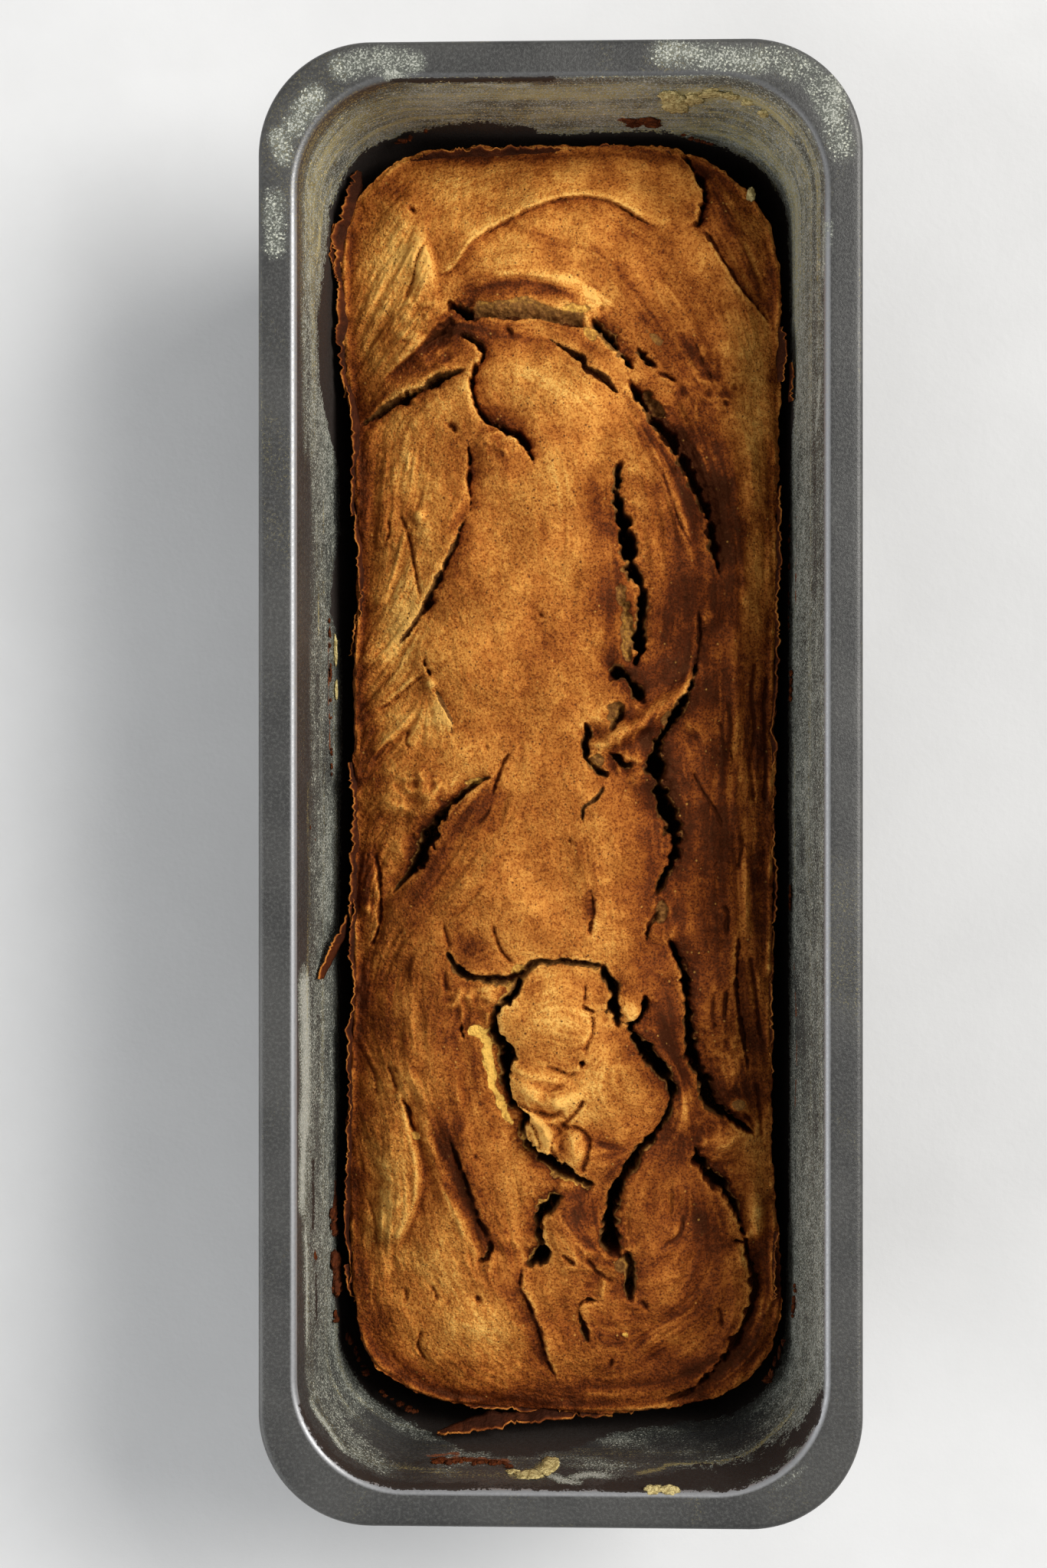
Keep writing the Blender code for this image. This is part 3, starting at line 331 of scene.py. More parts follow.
# Fine creases: depth, width and a route of (x, y)
CREASES = (
    (1.2, 0.7, ((-12.5, 100.2), (-11.6, 99.4), (-10.8, 98.2))),
    (0.9, 0.5, ((5.2, -43.6), (5.1, -46), (4.8, -48.2))),
    (0.8, 0.6, ((6.4, -50.2), (6.9, -52.6), (6.3, -55.4), (5, -58.4))),
    (1, 0.7, ((3.2, -62.9), (1.6, -63.4), (-0.4, -62.6), (-3, -61.8))),
    (1.2, 0.6, ((4.8, -68.6), (3.9, -70.6), (2, -72.8), (-0.2, -74.8))),
    (1.2, 0.8, ((0, -75), (2.4, -74.9), (4.6, -75.8), (5.9, -78.2), (5.6, -81), (4.4, -84.8))),
    (1.1, 0.8, ((-10.4, -69.4), (-7.6, -70.9), (-4.6, -71.9), (-2, -72.3), (0.2, -71))),
    (1, 0.7, ((-0.6, -76.2), (-1.9, -77.6), (-2.1, -80.2), (-1.2, -82.2))),
    (0.9, 0.7, ((-3.6, -73.9), (-1.4, -74.9), (-0.2, -76.4))),
    (0.9, 0.6, ((0, -102.8), (1.6, -104.2), (3.2, -105.4))),
    (1, 0.7, ((5.4, -103.8), (7.6, -106.6), (11, -109.2))), (1, 0.6, ((11.2, -126.6), (10.4, -129.2))),
    (1.2, 0.8, ((17.2, -113.2), (17.9, -113.9), (18.8, -115.4))),
    (1.4, 1, ((-18.9, -112.4), (-18.4, -113.6), (-18.8, -114.2))),
    (1.6, 0.8, ((-25.3, 79.2), (-24.2, 78.8), (-23.6, 78.2), (-23.8, 77.2))),
    (1.2, 0.6, ((-34.2, 127.8), (-33.2, 127.2), (-32.8, 126.2))), (1, 0.7, ((9, 105.2), (8.4, 103.2))),
    (1.2, 0.7, ((35.4, -26.8), (36.4, -28.6), (36.2, -31), (36.5, -33))),
    (1.6, 0.8, ((36.2, -45.6), (35.9, -48), (35.6, -51.6))),
    (1, 0.6, ((39.4, -11), (39.6, -14), (38.6, -18.6))),
    (0.8, 0.6, ((28.6, 2.6), (31, -1.8), (34, -6.4), (35.2, -9.6))),
    (0.9, 0.6, ((-14.9, -30.8), (-14, -34.6), (-12.4, -37.4), (-10.4, -39.2))),
    (0.8, 0.6, ((-26, -30.4), (-25.4, -33), (-24.6, -36))),
    (0.9, 0.7, ((-25.5, -41), (-25.7, -43.2), (-25.2, -45.6))),
    (0.9, 0.6, ((-30.5, 24), (-33, 22.2), (-35.4, 20.2), (-38.6, 17.6), (-41, 16.4))),
    (0.8, 0.6, ((-33.8, 11.8), (-34.6, 9.8), (-34.2, 8.4), (-33.4, 8.2))),
    (0.9, 0.7, ((-37.5, 9.6), (-39.2, 8.4), (-41, 6.2), (-42, 5))),
    (1, 0.6, ((-35.8, 59.4), (-34.6, 56.8), (-33.4, 52.4), (-32.4, 47.2), (-31.3, 41.5))),
    (0.8, 0.5, ((-38.6, 58.6), (-38.2, 56), (-39, 53.5))),
    (0.9, 0.6, ((-15.6, -4.9), (-16.3, -6.6), (-17.4, -7.8), (-18.6, -8.6))),
    (0.8, 0.5, ((-16.6, 8.8), (-16.2, 7.4))), (1, 0.6, ((-5, 37.6), (-3.8, 36.2))),
    (1.3, 0.9, ((27.2, 40.7), (27.3, 40))), (1.5, 0.9, ((-37, -63), (-36.3, -63.5))),
    (1, 0.7, ((-39.3, -58.9), (-38.7, -59.2))),
    (0.9, 0.6, ((-19.4, -81), (-18.8, -81.8), (-18.9, -82.6))),
    (1.2, 1, ((29.3, -55.8), (29.6, -56.4))), (1.2, 0.8, ((12.3, -64.2), (12.6, -64.9))),
    (1.2, 0.9, ((-45.2, 129.3), (-44.8, 129))), (1.2, 0.9, ((-34.6, 125.2), (-34.3, 124.8))),
    (1, 0.9, ((6.1, 114.7), (6.3, 114.2))), (1.2, 0.9, ((-3.2, -13), (-3.5, -13.6))),
    (1.2, 0.8, ((1.8, -11.8), (1.9, -13.2))), (0.5, 0.6, ((-43.6, -61), (-41.6, -65), (-41.2, -69))),
    (0.5, 0.6, ((-43.6, -92), (-41.6, -97), (-41.4, -102))),
    (0.8, 0.6, ((-38.6, -62), (-37, -66), (-36.6, -68))),
    (0.8, 0.7, ((42.6, 27), (41.8, 20), (42.4, 12), (41.4, 4), (42.2, -4))),
    (0.7, 0.6, ((36.4, 18), (37.2, 12), (36.8, 7.6), (37.6, 4.8))),
    (0.7, 0.6, ((34.6, 14), (35.6, 8), (36.6, 5))),
    (0.8, 0.6, ((45.2, 24), (44.6, 16), (45, 6), (44.6, -4))),
    (0.9, 0.7, ((41.4, -38), (42.4, -44), (43.2, -50), (43.8, -56))),
    (0.8, 0.7, ((43, -66), (43.6, -72), (44, -78))), (0.8, 0.6, ((33.4, -46), (33, -50), (33.6, -54))),
    (0.9, 0.6, ((40, -72.5), (41.4, -74.5), (42.2, -76.5))),
    (0.8, 0.6, ((26.4, -94), (26.2, -97), (25, -99.2), (22.2, -101))),
    (0.9, 0.6, ((34.6, -115.4), (35, -118), (35.2, -120))),
    (0.7, 0.6, ((-30, 120), (-32, 116), (-33, 111), (-35, 107))),
    (0.5, 0.6, ((29, 97), (31, 92), (34, 86.4), (36.4, 83))),
    (0.8, 0.6, ((-8.6, -72.6), (-6.2, -74.8), (-5, -77.6), (-4.8, -80.4))),
    (0.6, 0.5, ((-7.2, -76), (-6.4, -78.6), (-6, -80.6))),
    (0.8, 0.6, ((22, 68), (24, 62), (26.2, 56), (28.4, 52))),
    (0.8, 0.6, ((-31.2, -121), (-32, -124.6), (-30.4, -128))),
    (0.7, 0.6, ((-29, -110.6), (-28, -112.4), (-27.6, -114))),
    (0.7, 0.6, ((-34.8, -111.6), (-34.6, -114.6))),
)

# Soft folds: the step from one side to the other, how far it reaches, and a route of (x, y).
# The crust to the left of the way it runs is the higher
FOLDS = (
    (-1.1, 5, ((-31, 123), (-29, 117), (-28, 112), (-27, 106))),
    (1, 3.5, ((-25, 55), (-22.6, 59.4), (-21, 62.5), (-20.6, 65))), (-1.2, 4, ((-40, 29), (-45, 25))),
    (0.9, 3, ((-43.5, 15.5), (-40, 16.5), (-35, 20.5), (-30.5, 24))),
    (0.9, 3, ((-42, 5), (-38.5, 9), (-33.5, 14), (-31, 17))),
    (-1, 3, ((-33.5, -61), (-32.4, -64), (-30.5, -67))),
    (-1.2, 4, ((-30, -75), (-28, -79.5), (-26, -84))),
    (-1.4, 6, ((-34.5, -73), (-32.4, -79), (-31.2, -85), (-31.6, -91), (-34.4, -98), (-38, -104))),
    (-0.9, 3, ((-22.6, -62), (-22, -68), (-21.4, -73))), (1.1, 4, ((20, -42), (24, -41.8), (27, -42))),
    (-1, 3, ((26.5, -94), (26, -97), (25, -99), (22, -101))),
    (1.3, 3, ((24.6, 13.6), (27, 12.2), (29.6, 10.8), (31.6, 8.2))),
    (0.9, 3, ((36.5, -126.5), (30, -130.4), (22, -133), (12, -134.4), (2, -134))),
    (-1, 3, ((16.4, -127.2), (18.4, -122.6), (22.4, -119), (28.4, -116.4))),
    (0.8, 2.6, ((-19, -104), (-21, -98), (-24, -91), (-27, -86))),
    (0.8, 2.4, ((6, -80), (9.6, -78), (13, -78.6), (15.4, -80))),
    (0.9, 2.2, ((30.2, -81), (33, -80.4), (36.6, -79.8), (39.6, -77.6))),
    (-0.8, 3, ((3, 107), (-5, 110.4), (-13, 110.8), (-22, 107.4))),
    (0.4, 5, ((36, 88), (31, 96), (26, 106), (19, 113))),
    (0.4, 3, ((25.5, 80), (30.4, 70.6), (34.6, 60.4), (36, 52))),
    (-0.8, 3, ((19, 76), (23, 69), (26.6, 61), (28.8, 53), (29.4, 44))),
)

# Ropes and rolls of dough that stand proud: height, then a route of (x, y, width)
ROPES = (
    (3, ((29.4, 24, 4.6), (26, 19.4, 5.2), (22, 16.4, 5.6), (15.6, 12.4, 5), (8.6, 9, 4))),
    (1.5, ((-9.4, -64.2, 5), (-6.4, -67.6, 5.4), (-2, -69.2, 5.4), (1.8, -68.2, 5))),
    (1.3, ((-9, -70.6, 3), (-6.2, -72.4, 3.2), (-3.4, -75.2, 3), (-2.6, -79.4, 3))),
    (0.9, ((-10.6, -61, 3), (-7.4, -63.2, 3), (-3, -64.4, 2.6), (1, -64.8, 2.4))),
    (0.6, ((-34, 122, 7), (-31.6, 114, 6), (-30, 106, 5))),
    (0.9, ((-38, -76, 9), (-36.4, -88, 9), (-40, -102, 9))),
    (0.6, ((-31, -72, 4), (-28, -82, 5), (-24, -92, 5), (-19.6, -101, 4))),
    (1.3, ((20.4, -55, 3.6), (24.2, -62.6, 3.6), (26.4, -68, 4.6), (25.6, -78, 7))),
    (1, ((17, -54.6, 2.4), (21, -57.6, 2.6), (24.4, -62.4, 2.6))),
    (1, ((44.8, -104, 3), (45.8, -112, 4), (43.4, -122, 4.4), (38.6, -129.6, 4.6))),
    (0.9, ((22.6, 66, 3), (26, 58, 3.4), (28, 50, 3))),
    (0.8, ((37.4, 36, 4), (38, 26, 4), (38.6, 14, 4), (39, 2, 4))),
    (0.8, ((40.2, -15, 3), (40.6, -24, 3), (40.4, -32, 2.6))),
    (1.2, ((46.4, -101, 1.6), (46.3, -107, 1.4), (46.6, -114, 1.4))),
)

# Puffed lobes and small lumps: centre, half sizes, turn in degrees and height
LOBES = (
    (-1, -50, 10, 9, 0, 2.4), (14, -66, 10, 11, -25, 2.4), (3, -98, 6, 9, 0, 2),
    (35.6, -78.6, 6, 4, 15, 1), (12, -18, 9, 18, 0, 1.6), (-13, -20, 11, 18, -20, 1),
    (22, -98, 8, 15, 0, 1.4), (-1, 117, 20, 9, -12, 1.4), (2, 56, 10, 20, 12, 1.4),
    (-3, 86, 11, 7, -15, 1.2), (-14, 72, 5, 6, 10, 0.9), (-31.5, 59, 1.1, 1.1, 0, 1),
    (-29, 22, 1, 1, 0, 1.1), (-4.4, -77.4, 2.8, 3.4, 20, 1.6), (3, -79.2, 2.6, 3.6, 0, 1.9),
    (0, -69.4, 4, 2.4, 20, 0.8), (15, -49.6, 2, 2.2, 0, 1.6), (12.5, 26.1, 1.1, 1, 0, 1.6),
    (32, 36.6, 1.6, 1.6, 0, 0.9), (-43.4, -27.6, 1, 1, 0, 1), (38.6, -70.8, 2.4, 1.6, 0, 2.2),
    (-15, -46, 4.4, 2.2, -8, 1), (21.6, -32.4, 2.4, 1.5, 0, 1.2), (17.4, 1.6, 2.4, 2, 0, 1),
    (15.6, 5.8, 2.6, 1.6, 10, 0.8), (-37.6, -3.6, 3.6, 2.6, 0, 0.9), (30, -47, 4, 7, 0, 0.8),
    (-32, 98, 8, 5, 40, 0.9), (38, 122, 7, 9, 30, 0.8), (14.4, -88, 3, 6, 10, 0.8),
    (1.6, -87.6, 2.6, 1.2, -20, 0.9), (8, -82, 4, 3, 0, 0.8), (42.6, -95, 1.8, 4.4, 0, 1.4),
)

# Bared crumb away from the open cracks: centre, half sizes, turn in degrees, sink and how pale
CRUMB_PATCHES = (
    (14.2, 33.5, 1.4, 6.4, 0, 1.6, 0.5), (13, 41.4, 1.2, 2.4, 0, 1, 0.3),
    (11.7, 16, 1.7, 2.4, -20, 1.4, 0.35), (7.6, 4.9, 2.1, 1.3, 25, 1.2, 0.4),
    (-18.4, -54.2, 2.5, 1.3, 0, 0.15, 1.25), (-16.1, -60.4, 1.3, 6.2, 9, 0.15, 1.25),
    (-13.2, -70, 1, 5.4, 24, 0.15, 1.1), (-19.6, 0.6, 2.6, 0.8, 12, 0.5, 0.9),
    (3.4, 104.2, 3, 0.9, -5, 0.4, 0.9), (6.4, 98.4, 1.8, 1.3, -40, 0.6, 0.8),
    (21.8, -28, 1.2, 2.2, 0, 0.9, 0.15), (20.3, 82.6, 1.5, 3.4, 36, 1.8, 0),
    (23, 14, 1.2, 1.6, -20, 1, 0.3), (13, -105.4, 1.6, 1.6, 0, 0.8, 0.2),
    (-9.6, -40.6, 1.6, 1, 30, 0.4, 0.8), (13.9, -121.2, 0.7, 0.5, -30, -0.3, 0.9),
    (-32.1, -77.5, 1, 0.7, -40, -0.4, 0.8), (39, -70.6, 1.6, 1.2, 0, 0, 0.3),
    (20.5, 97.5, 2.4, 0.8, -42, 0.2, 0.3),
)

# Ways that the batter was folded and dragged, which the fine wrinkles follow: routes of (x, y)
FLOWS = (
    ((-20, 107), (-3, 110), (7.5, 106), (19.5, 94.5), (26.4, 82.5), (31.5, 69), (32.4, 55)),
    ((-7, 121), (8, 115), (15, 108), (21, 100), (27, 90)),
    ((-24, 128), (-8, 134), (8, 134), (20, 130), (26, 122)), ((-2, 114), (4, 112), (8, 109)),
    ((26, 106), (31, 96), (36, 88), (40, 76), (41, 62)), ((40, 118), (44, 108), (45, 94)),
    ((34, 134), (38, 126), (43, 116)),
    ((44, 84), (44.5, 60), (44, 36), (43, 12), (43, -12), (43, -36), (43, -60)),
    ((38, 44), (37, 28), (36, 12), (35, -4), (36, -20), (37, -36), (36, -52)),
    ((32, 40), (31.5, 30), (32.6, 20), (33, 6), (30, -12), (30, -30)),
    ((22, 62), (24, 50), (25, 40), (24, 30), (19, 20), (12, 14)),
    ((-14, 92), (-6, 90), (4, 84), (10, 74), (11, 62)),
    ((0, 80), (5, 70), (7, 58), (6, 44), (3, 30), (-2, 16)),
    ((-16, 76), (-13, 66), (-17, 54), (-22, 44), (-26, 32)),
    ((-8, 60), (-12, 46), (-14, 32), (-10, 18), (-2, 8)),
    ((-26, 74), (-27, 64), (-31, 52), (-35, 42), (-41, 34)),
    ((-40, 78), (-41, 64), (-42, 50), (-43, 40)), ((-46, 78), (-40, 86), (-34, 94), (-28, 102)),
    ((-46, 92), (-41, 100), (-35, 108), (-30, 117)), ((-46, 106), (-43, 114), (-38, 122), (-31, 130)),
    ((-28, 16), (-26, 8), (-31, 2), (-38, -1), (-43, -6)),
    ((-22, 8), (-26, 2), (-32, -6), (-37, -14), (-42, -20)), ((-4, 4), (0, -8), (3, -20), (3, -32)),
    ((-10, -4), (-14, -14), (-22, -24), (-30, -30), (-37, -38), (-40, -50)),
    ((-6, -14), (-8, -26), (-12, -34), (-20, -38)),
    ((8, 0), (10, -14), (11, -28), (14, -40), (22, -44), (26, -54)),
    ((17, -4), (19, -14), (18, -26), (16, -36)), ((28, 8), (31, 0), (30, -10), (28, -22), (30, -34)),
    ((-24, -48), (-27, -58), (-25, -70), (-22, -80), (-18, -92), (-12, -102)),
    ((-34, -44), (-33, -56), (-30, -68), (-26, -80), (-22, -92), (-20, -102)),
    ((-14, -76), (-11, -84), (-9, -92), (-10, -100)), ((-46, -56), (-40, -66), (-38, -78), (-39, -92)),
    ((-46, -72), (-42, -84), (-42, -98), (-43, -112)),
    ((-36, -104), (-32, -114), (-26, -124), (-16, -131), (-4, -134)),
    ((-28, -96), (-24, -108), (-17, -120), (-9, -130)),
    ((-8, -46), (2, -43), (10, -48), (9, -56), (3, -60), (-6, -57)),
    ((16, -58), (20, -66), (18, -74), (11, -78), (6, -72)),
    ((26, -84), (26, -94), (22, -102), (14, -108), (6, -104), (0, -97)),
    ((31, -92), (32, -102), (28, -112), (20, -118), (10, -118)),
    ((37, -106), (38, -116), (34, -124), (26, -130), (14, -133), (2, -134)),
    ((46, -104), (45.6, -114), (42, -124), (36, -130)),
)

# Ovals where the crust is wrinkled along its flow, and where it is brushed with fine streaks of
# cinnamon: centre, half sizes and turn in degrees
WRINKLED = (
    (38, 20, 11, 95, 0), (-38, 20, 10, 75, 0), (-38, -70, 10, 50, 0), (-38, 108, 9, 20, 0),
    (38, 112, 9, 20, 0), (32, -100, 14, 32, 0), (-12, -100, 10, 24, 20), (26, 46, 8, 34, 0),
    (28, 88, 12, 22, -35), (-24, -14, 14, 18, -30),
)
BRUSHED = (
    (2, 106, 28, 12, -8), (24, 80, 12, 30, -32), (32, 50, 9, 34, 0), (36, -20, 9, 50, 0),
    (22, -98, 14, 24, 0), (-34, 104, 12, 26, 0), (-22, -86, 6, 26, 12), (8, 60, 12, 26, 8),
    (-8, -128, 24, 9, 0), (8, -20, 10, 24, 0),
)

# Ovals where the crust is crumpled into small lumps: centre, half sizes and turn
CRUMPLED = (
    (-3, -75, 8, 9, 0), (13, -49, 5, 5, 0), (9, -107, 9, 6, -20), (34, -80, 6, 9, 20),
    (-20, -49, 6, 6, 0), (13, 10, 8, 9, 20), (-32, -2, 6, 5, 0), (36, -62, 5, 7, 0),
    (-30, 100, 6, 9, 30), (33, 88, 7, 10, -30), (22, -30, 4, 5, 0), (-14, 75, 5, 4, 0),
)

# Cinnamon, painted shade and painted light: how much darker (or, below nought, more golden), half width
# and a route
SHADES = (
    (0.7, 6.5, ((38, 66), (37, 46), (37, 24), (37, 0), (37, -20), (38, -40), (39, -58))),
    (0.95, 6.5, ((20, 100), (25, 92), (27, 78), (28, 62), (27, 46), (27, 30))),
    (0.8, 4.5, ((33, 74), (35, 56), (35, 40), (34, 28))), (1.3, 4.6, ((12, 24), (20, 24), (28, 25))),
    (1.35, 5.5, ((22, 8), (23, -4), (22, -16), (22, -30), (24, -42), (25, -54), (24, -64))),
    (0.7, 5, ((34, -8), (33, -30), (34, -50), (36, -70))), (0.8, 5, ((12, 60), (12, 46), (13, 34))),
    (0.9, 7, ((28, -78), (28, -94), (28, -106), (31, -120))),
    (0.6, 5, ((39, -104), (42, -112), (38, -124))), (0.6, 9, ((16, 116), (25, 108), (31, 94))),
    (1.4, 8, ((-30, -135), (-8, -136), (12, -134), (30, -132))),
    (0.7, 5.5, ((-1, -92), (4, -97), (3, -104), (-2, -98))),
    (0.7, 5.5, ((-22, -54), (-24, -68), (-22, -82), (-16, -96), (-15, -108))),
    (0.95, 5, ((-31, 96), (-22, 100), (-14, 104))), (0.85, 4.5, ((-22, 72), (-22, 60), (-23, 50))),
    (0.6, 4, ((-16, 80), (-12, 78))),
    (0.7, 4.5, ((-45, 92), (-44, 60), (-44, 30), (-44, 6), (-43, -14))),
    (0.9, 6, ((-29, -10), (-33, -24), (-34, -34), (-30, -44))), (0.4, 6, ((-40, -48), (-41, -62))),
    (0.75, 8, ((17, -62), (21, -76), (22, -98), (16, -110))),
    (0.5, 8, ((12, -4), (14, -18), (15, -34))), (0.35, 8, ((2, 56), (2, 40), (-4, 26))),
    (0.45, 6, ((-18, -8), (-24, -20), (-20, -32))), (0.4, 7, ((2, -114), (12, -120), (18, -110))),
    (1.1, 5, ((27, 72), (28, 62), (27, 48), (27, 34), (27, 20))),
    (0.55, 5, ((35, 70), (35, 52), (34, 30), (34, 14))),
    (1.1, 5.5, ((27, 4), (29, -6), (28, -20), (29, -34), (28, -46))),
    (0.7, 5, ((20, 4), (20, -10), (19, -24))), (0.8, 4.5, ((35, -4), (35, -22), (34, -36), (35, -50))),
    (0.9, 4, ((34, -66), (36, -76))), (0.6, 4, ((41, 24), (41, 4), (42, -20))),
    (0.8, 3.5, ((42, -54), (42, -68))), (0.65, 4.5, ((12, 44), (13, 30), (13, 14), (12, 2))),
    (0.8, 3.5, ((6, -90), (6, -97))), (0.5, 6, ((10, -102), (14, -112), (16, -121))),
    (0.5, 4, ((-22, 54), (-23, 48))), (0.55, 4, ((-24, -37), (-14, -40))),
    (0.4, 5, ((-28, -54), (-26, -66), (-27, -86), (-29, -95))),
    (0.7, 4, ((-30, -8), (-29, -14), (-30, -28), (-36, -32))), (1.1, 3.5, ((-43, -44), (-44, -52))),
    (1.1, 4, ((-43, -116), (-41, -126), (-36, -131))), (0.9, 4, ((26, -130), (34, -128), (41, -124))),
    (1, 3, ((-39, 133), (-35, 133))), (-0.6, 4, ((41, 122), (42, 104), (42, 86))),
    (-0.5, 3, ((-43, -8), (-43, -16))), (-0.6, 3, ((-43, -90), (-43, -104))),
    (-0.3, 4, ((-43, 54), (-42, 44))), (-0.35, 5, ((-37, 98), (-36, 70))),
    (-1.3, 7, ((-36, 120), (-37, 110))), (-0.5, 8, ((-14, 119), (0, 120), (12, 116))),
    (-0.6, 4, ((-4, 105), (4, 104))), (-0.45, 5, ((6, -8), (5, -22), (6, -38))),
    (-0.4, 5, ((-36, 40), (-36, 20))), (-0.8, 3, ((-17, -52), (-15, -66))),
    (-0.5, 5, ((-22, -28), (-14, -34))), (-0.5, 3, ((43, 90), (42, 60), (42, 40))),
    (0.7, 4, ((-24, 99), (-16, 104), (-8, 105))), (1, 4, ((15, 88), (20, 80), (27, 69))),
    (1, 4, ((14, 26), (19, 17), (20, 6), (20, -4))), (0.5, 4, ((13, -8), (13, -30))),
    (1.1, 4, ((18, -54), (21, -61), (27, -67), (34, -74))), (0.7, 5, ((0, -94), (8, -96), (12, -102))),
    (0.7, 4.5, ((34, -90), (34, -100), (35, -113))), (0.6, 5, ((-2, -120), (6, -121), (14, -120))),
    (0.8, 4, ((-43, -46), (-43, -51))), (0.6, 4, ((42, 26), (42, 2), (41, -24))),
    (0.6, 4, ((41, -54), (41, -68))), (0.5, 4, ((-18, -110), (-8, -112))),
    (0.9, 4, ((32, -78), (40, -78))), (0.6, 4, ((36, 70), (35, 58))), (0.6, 4, ((-38, 64), (-36, 56))),
    (-0.4, 4, ((-8, -75), (0, -75))), (-0.4, 3, ((41, 46), (41, 38))),
    (-0.5, 3, ((-43, 100), (-43, 92))), (-0.5, 3, ((-43, -62), (-43, -70))),
    (-0.5, 4, ((-31, -72), (-30, -78))), (1, 3.4, ((-15, -3), (-20, -7), (-25, -12), (-28, -17))),
    (0.8, 3.5, ((25, 74), (28, 65))), (0.5, 4, ((26, 62), (35, 60))), (0.7, 3.5, ((25, 26), (29, 22))),
    (0.7, 4, ((20, 14), (21, 2), (26, -4))), (0.55, 3.2, ((12, 46), (13, 36), (12, 24))),
    (0.55, 3.4, ((18, 80), (21, 76))), (0.6, 3.4, ((-39, 131), (-33, 134))),
    (0.45, 3, ((-23, 96), (-19, 95))), (0.45, 3, ((-15, 80), (-15, 76))),
    (0.5, 3.5, ((13, -56), (20, -58), (20, -67))), (0.45, 3, ((33, -64), (35, -68))),
    (0.5, 3.4, ((26, -82), (28, -87))), (0.4, 3.4, ((-43, -108), (-43, -113))),
    (0.7, 4, ((32, -129), (41, -127))), (0.4, 3.5, ((34, 8), (34, -4))),
    (0.3, 3.5, ((-22, 53), (-22, 49))), (0.3, 3.5, ((6, 54), (6, 47))),
    (0.35, 3.2, ((-15, -46), (-8, -47))), (-0.55, 4, ((-36, 118), (-36, 110))),
    (-0.45, 3.5, ((41, 0), (41, -14))), (-0.5, 3.2, ((-43, -2), (-43, -14))),
    (-0.4, 4, ((-41, 53), (-37, 44), (-36, 32), (-36, 23))), (-0.35, 3.5, ((34, 36), (34, 22))),
    (-0.35, 3, ((34, 134), (35, 130))), (-0.4, 3.5, ((41, -81), (41, -88))),
    (-0.35, 3, ((41, -106), (41, -115))), (-0.35, 4, ((34, -10), (34, -33))),
    (-0.35, 4, ((20, -98), (20, -105))), (-0.3, 4, ((-2, 9), (0, 2))),
    (-0.3, 4, ((12, 106), (14, 102))), (-0.3, 4.5, ((-25, -19), (-22, -33))),
    (-0.25, 6, ((-26, -109), (-26, -131))), (-0.3, 3.2, ((-43, -90), (-43, -103))),
    (-0.2, 4, ((-8, -75), (6, -75))), (-0.25, 4, ((6, -9), (6, -16))),
    (-0.25, 3.2, ((34, -81), (34, -87))),
)

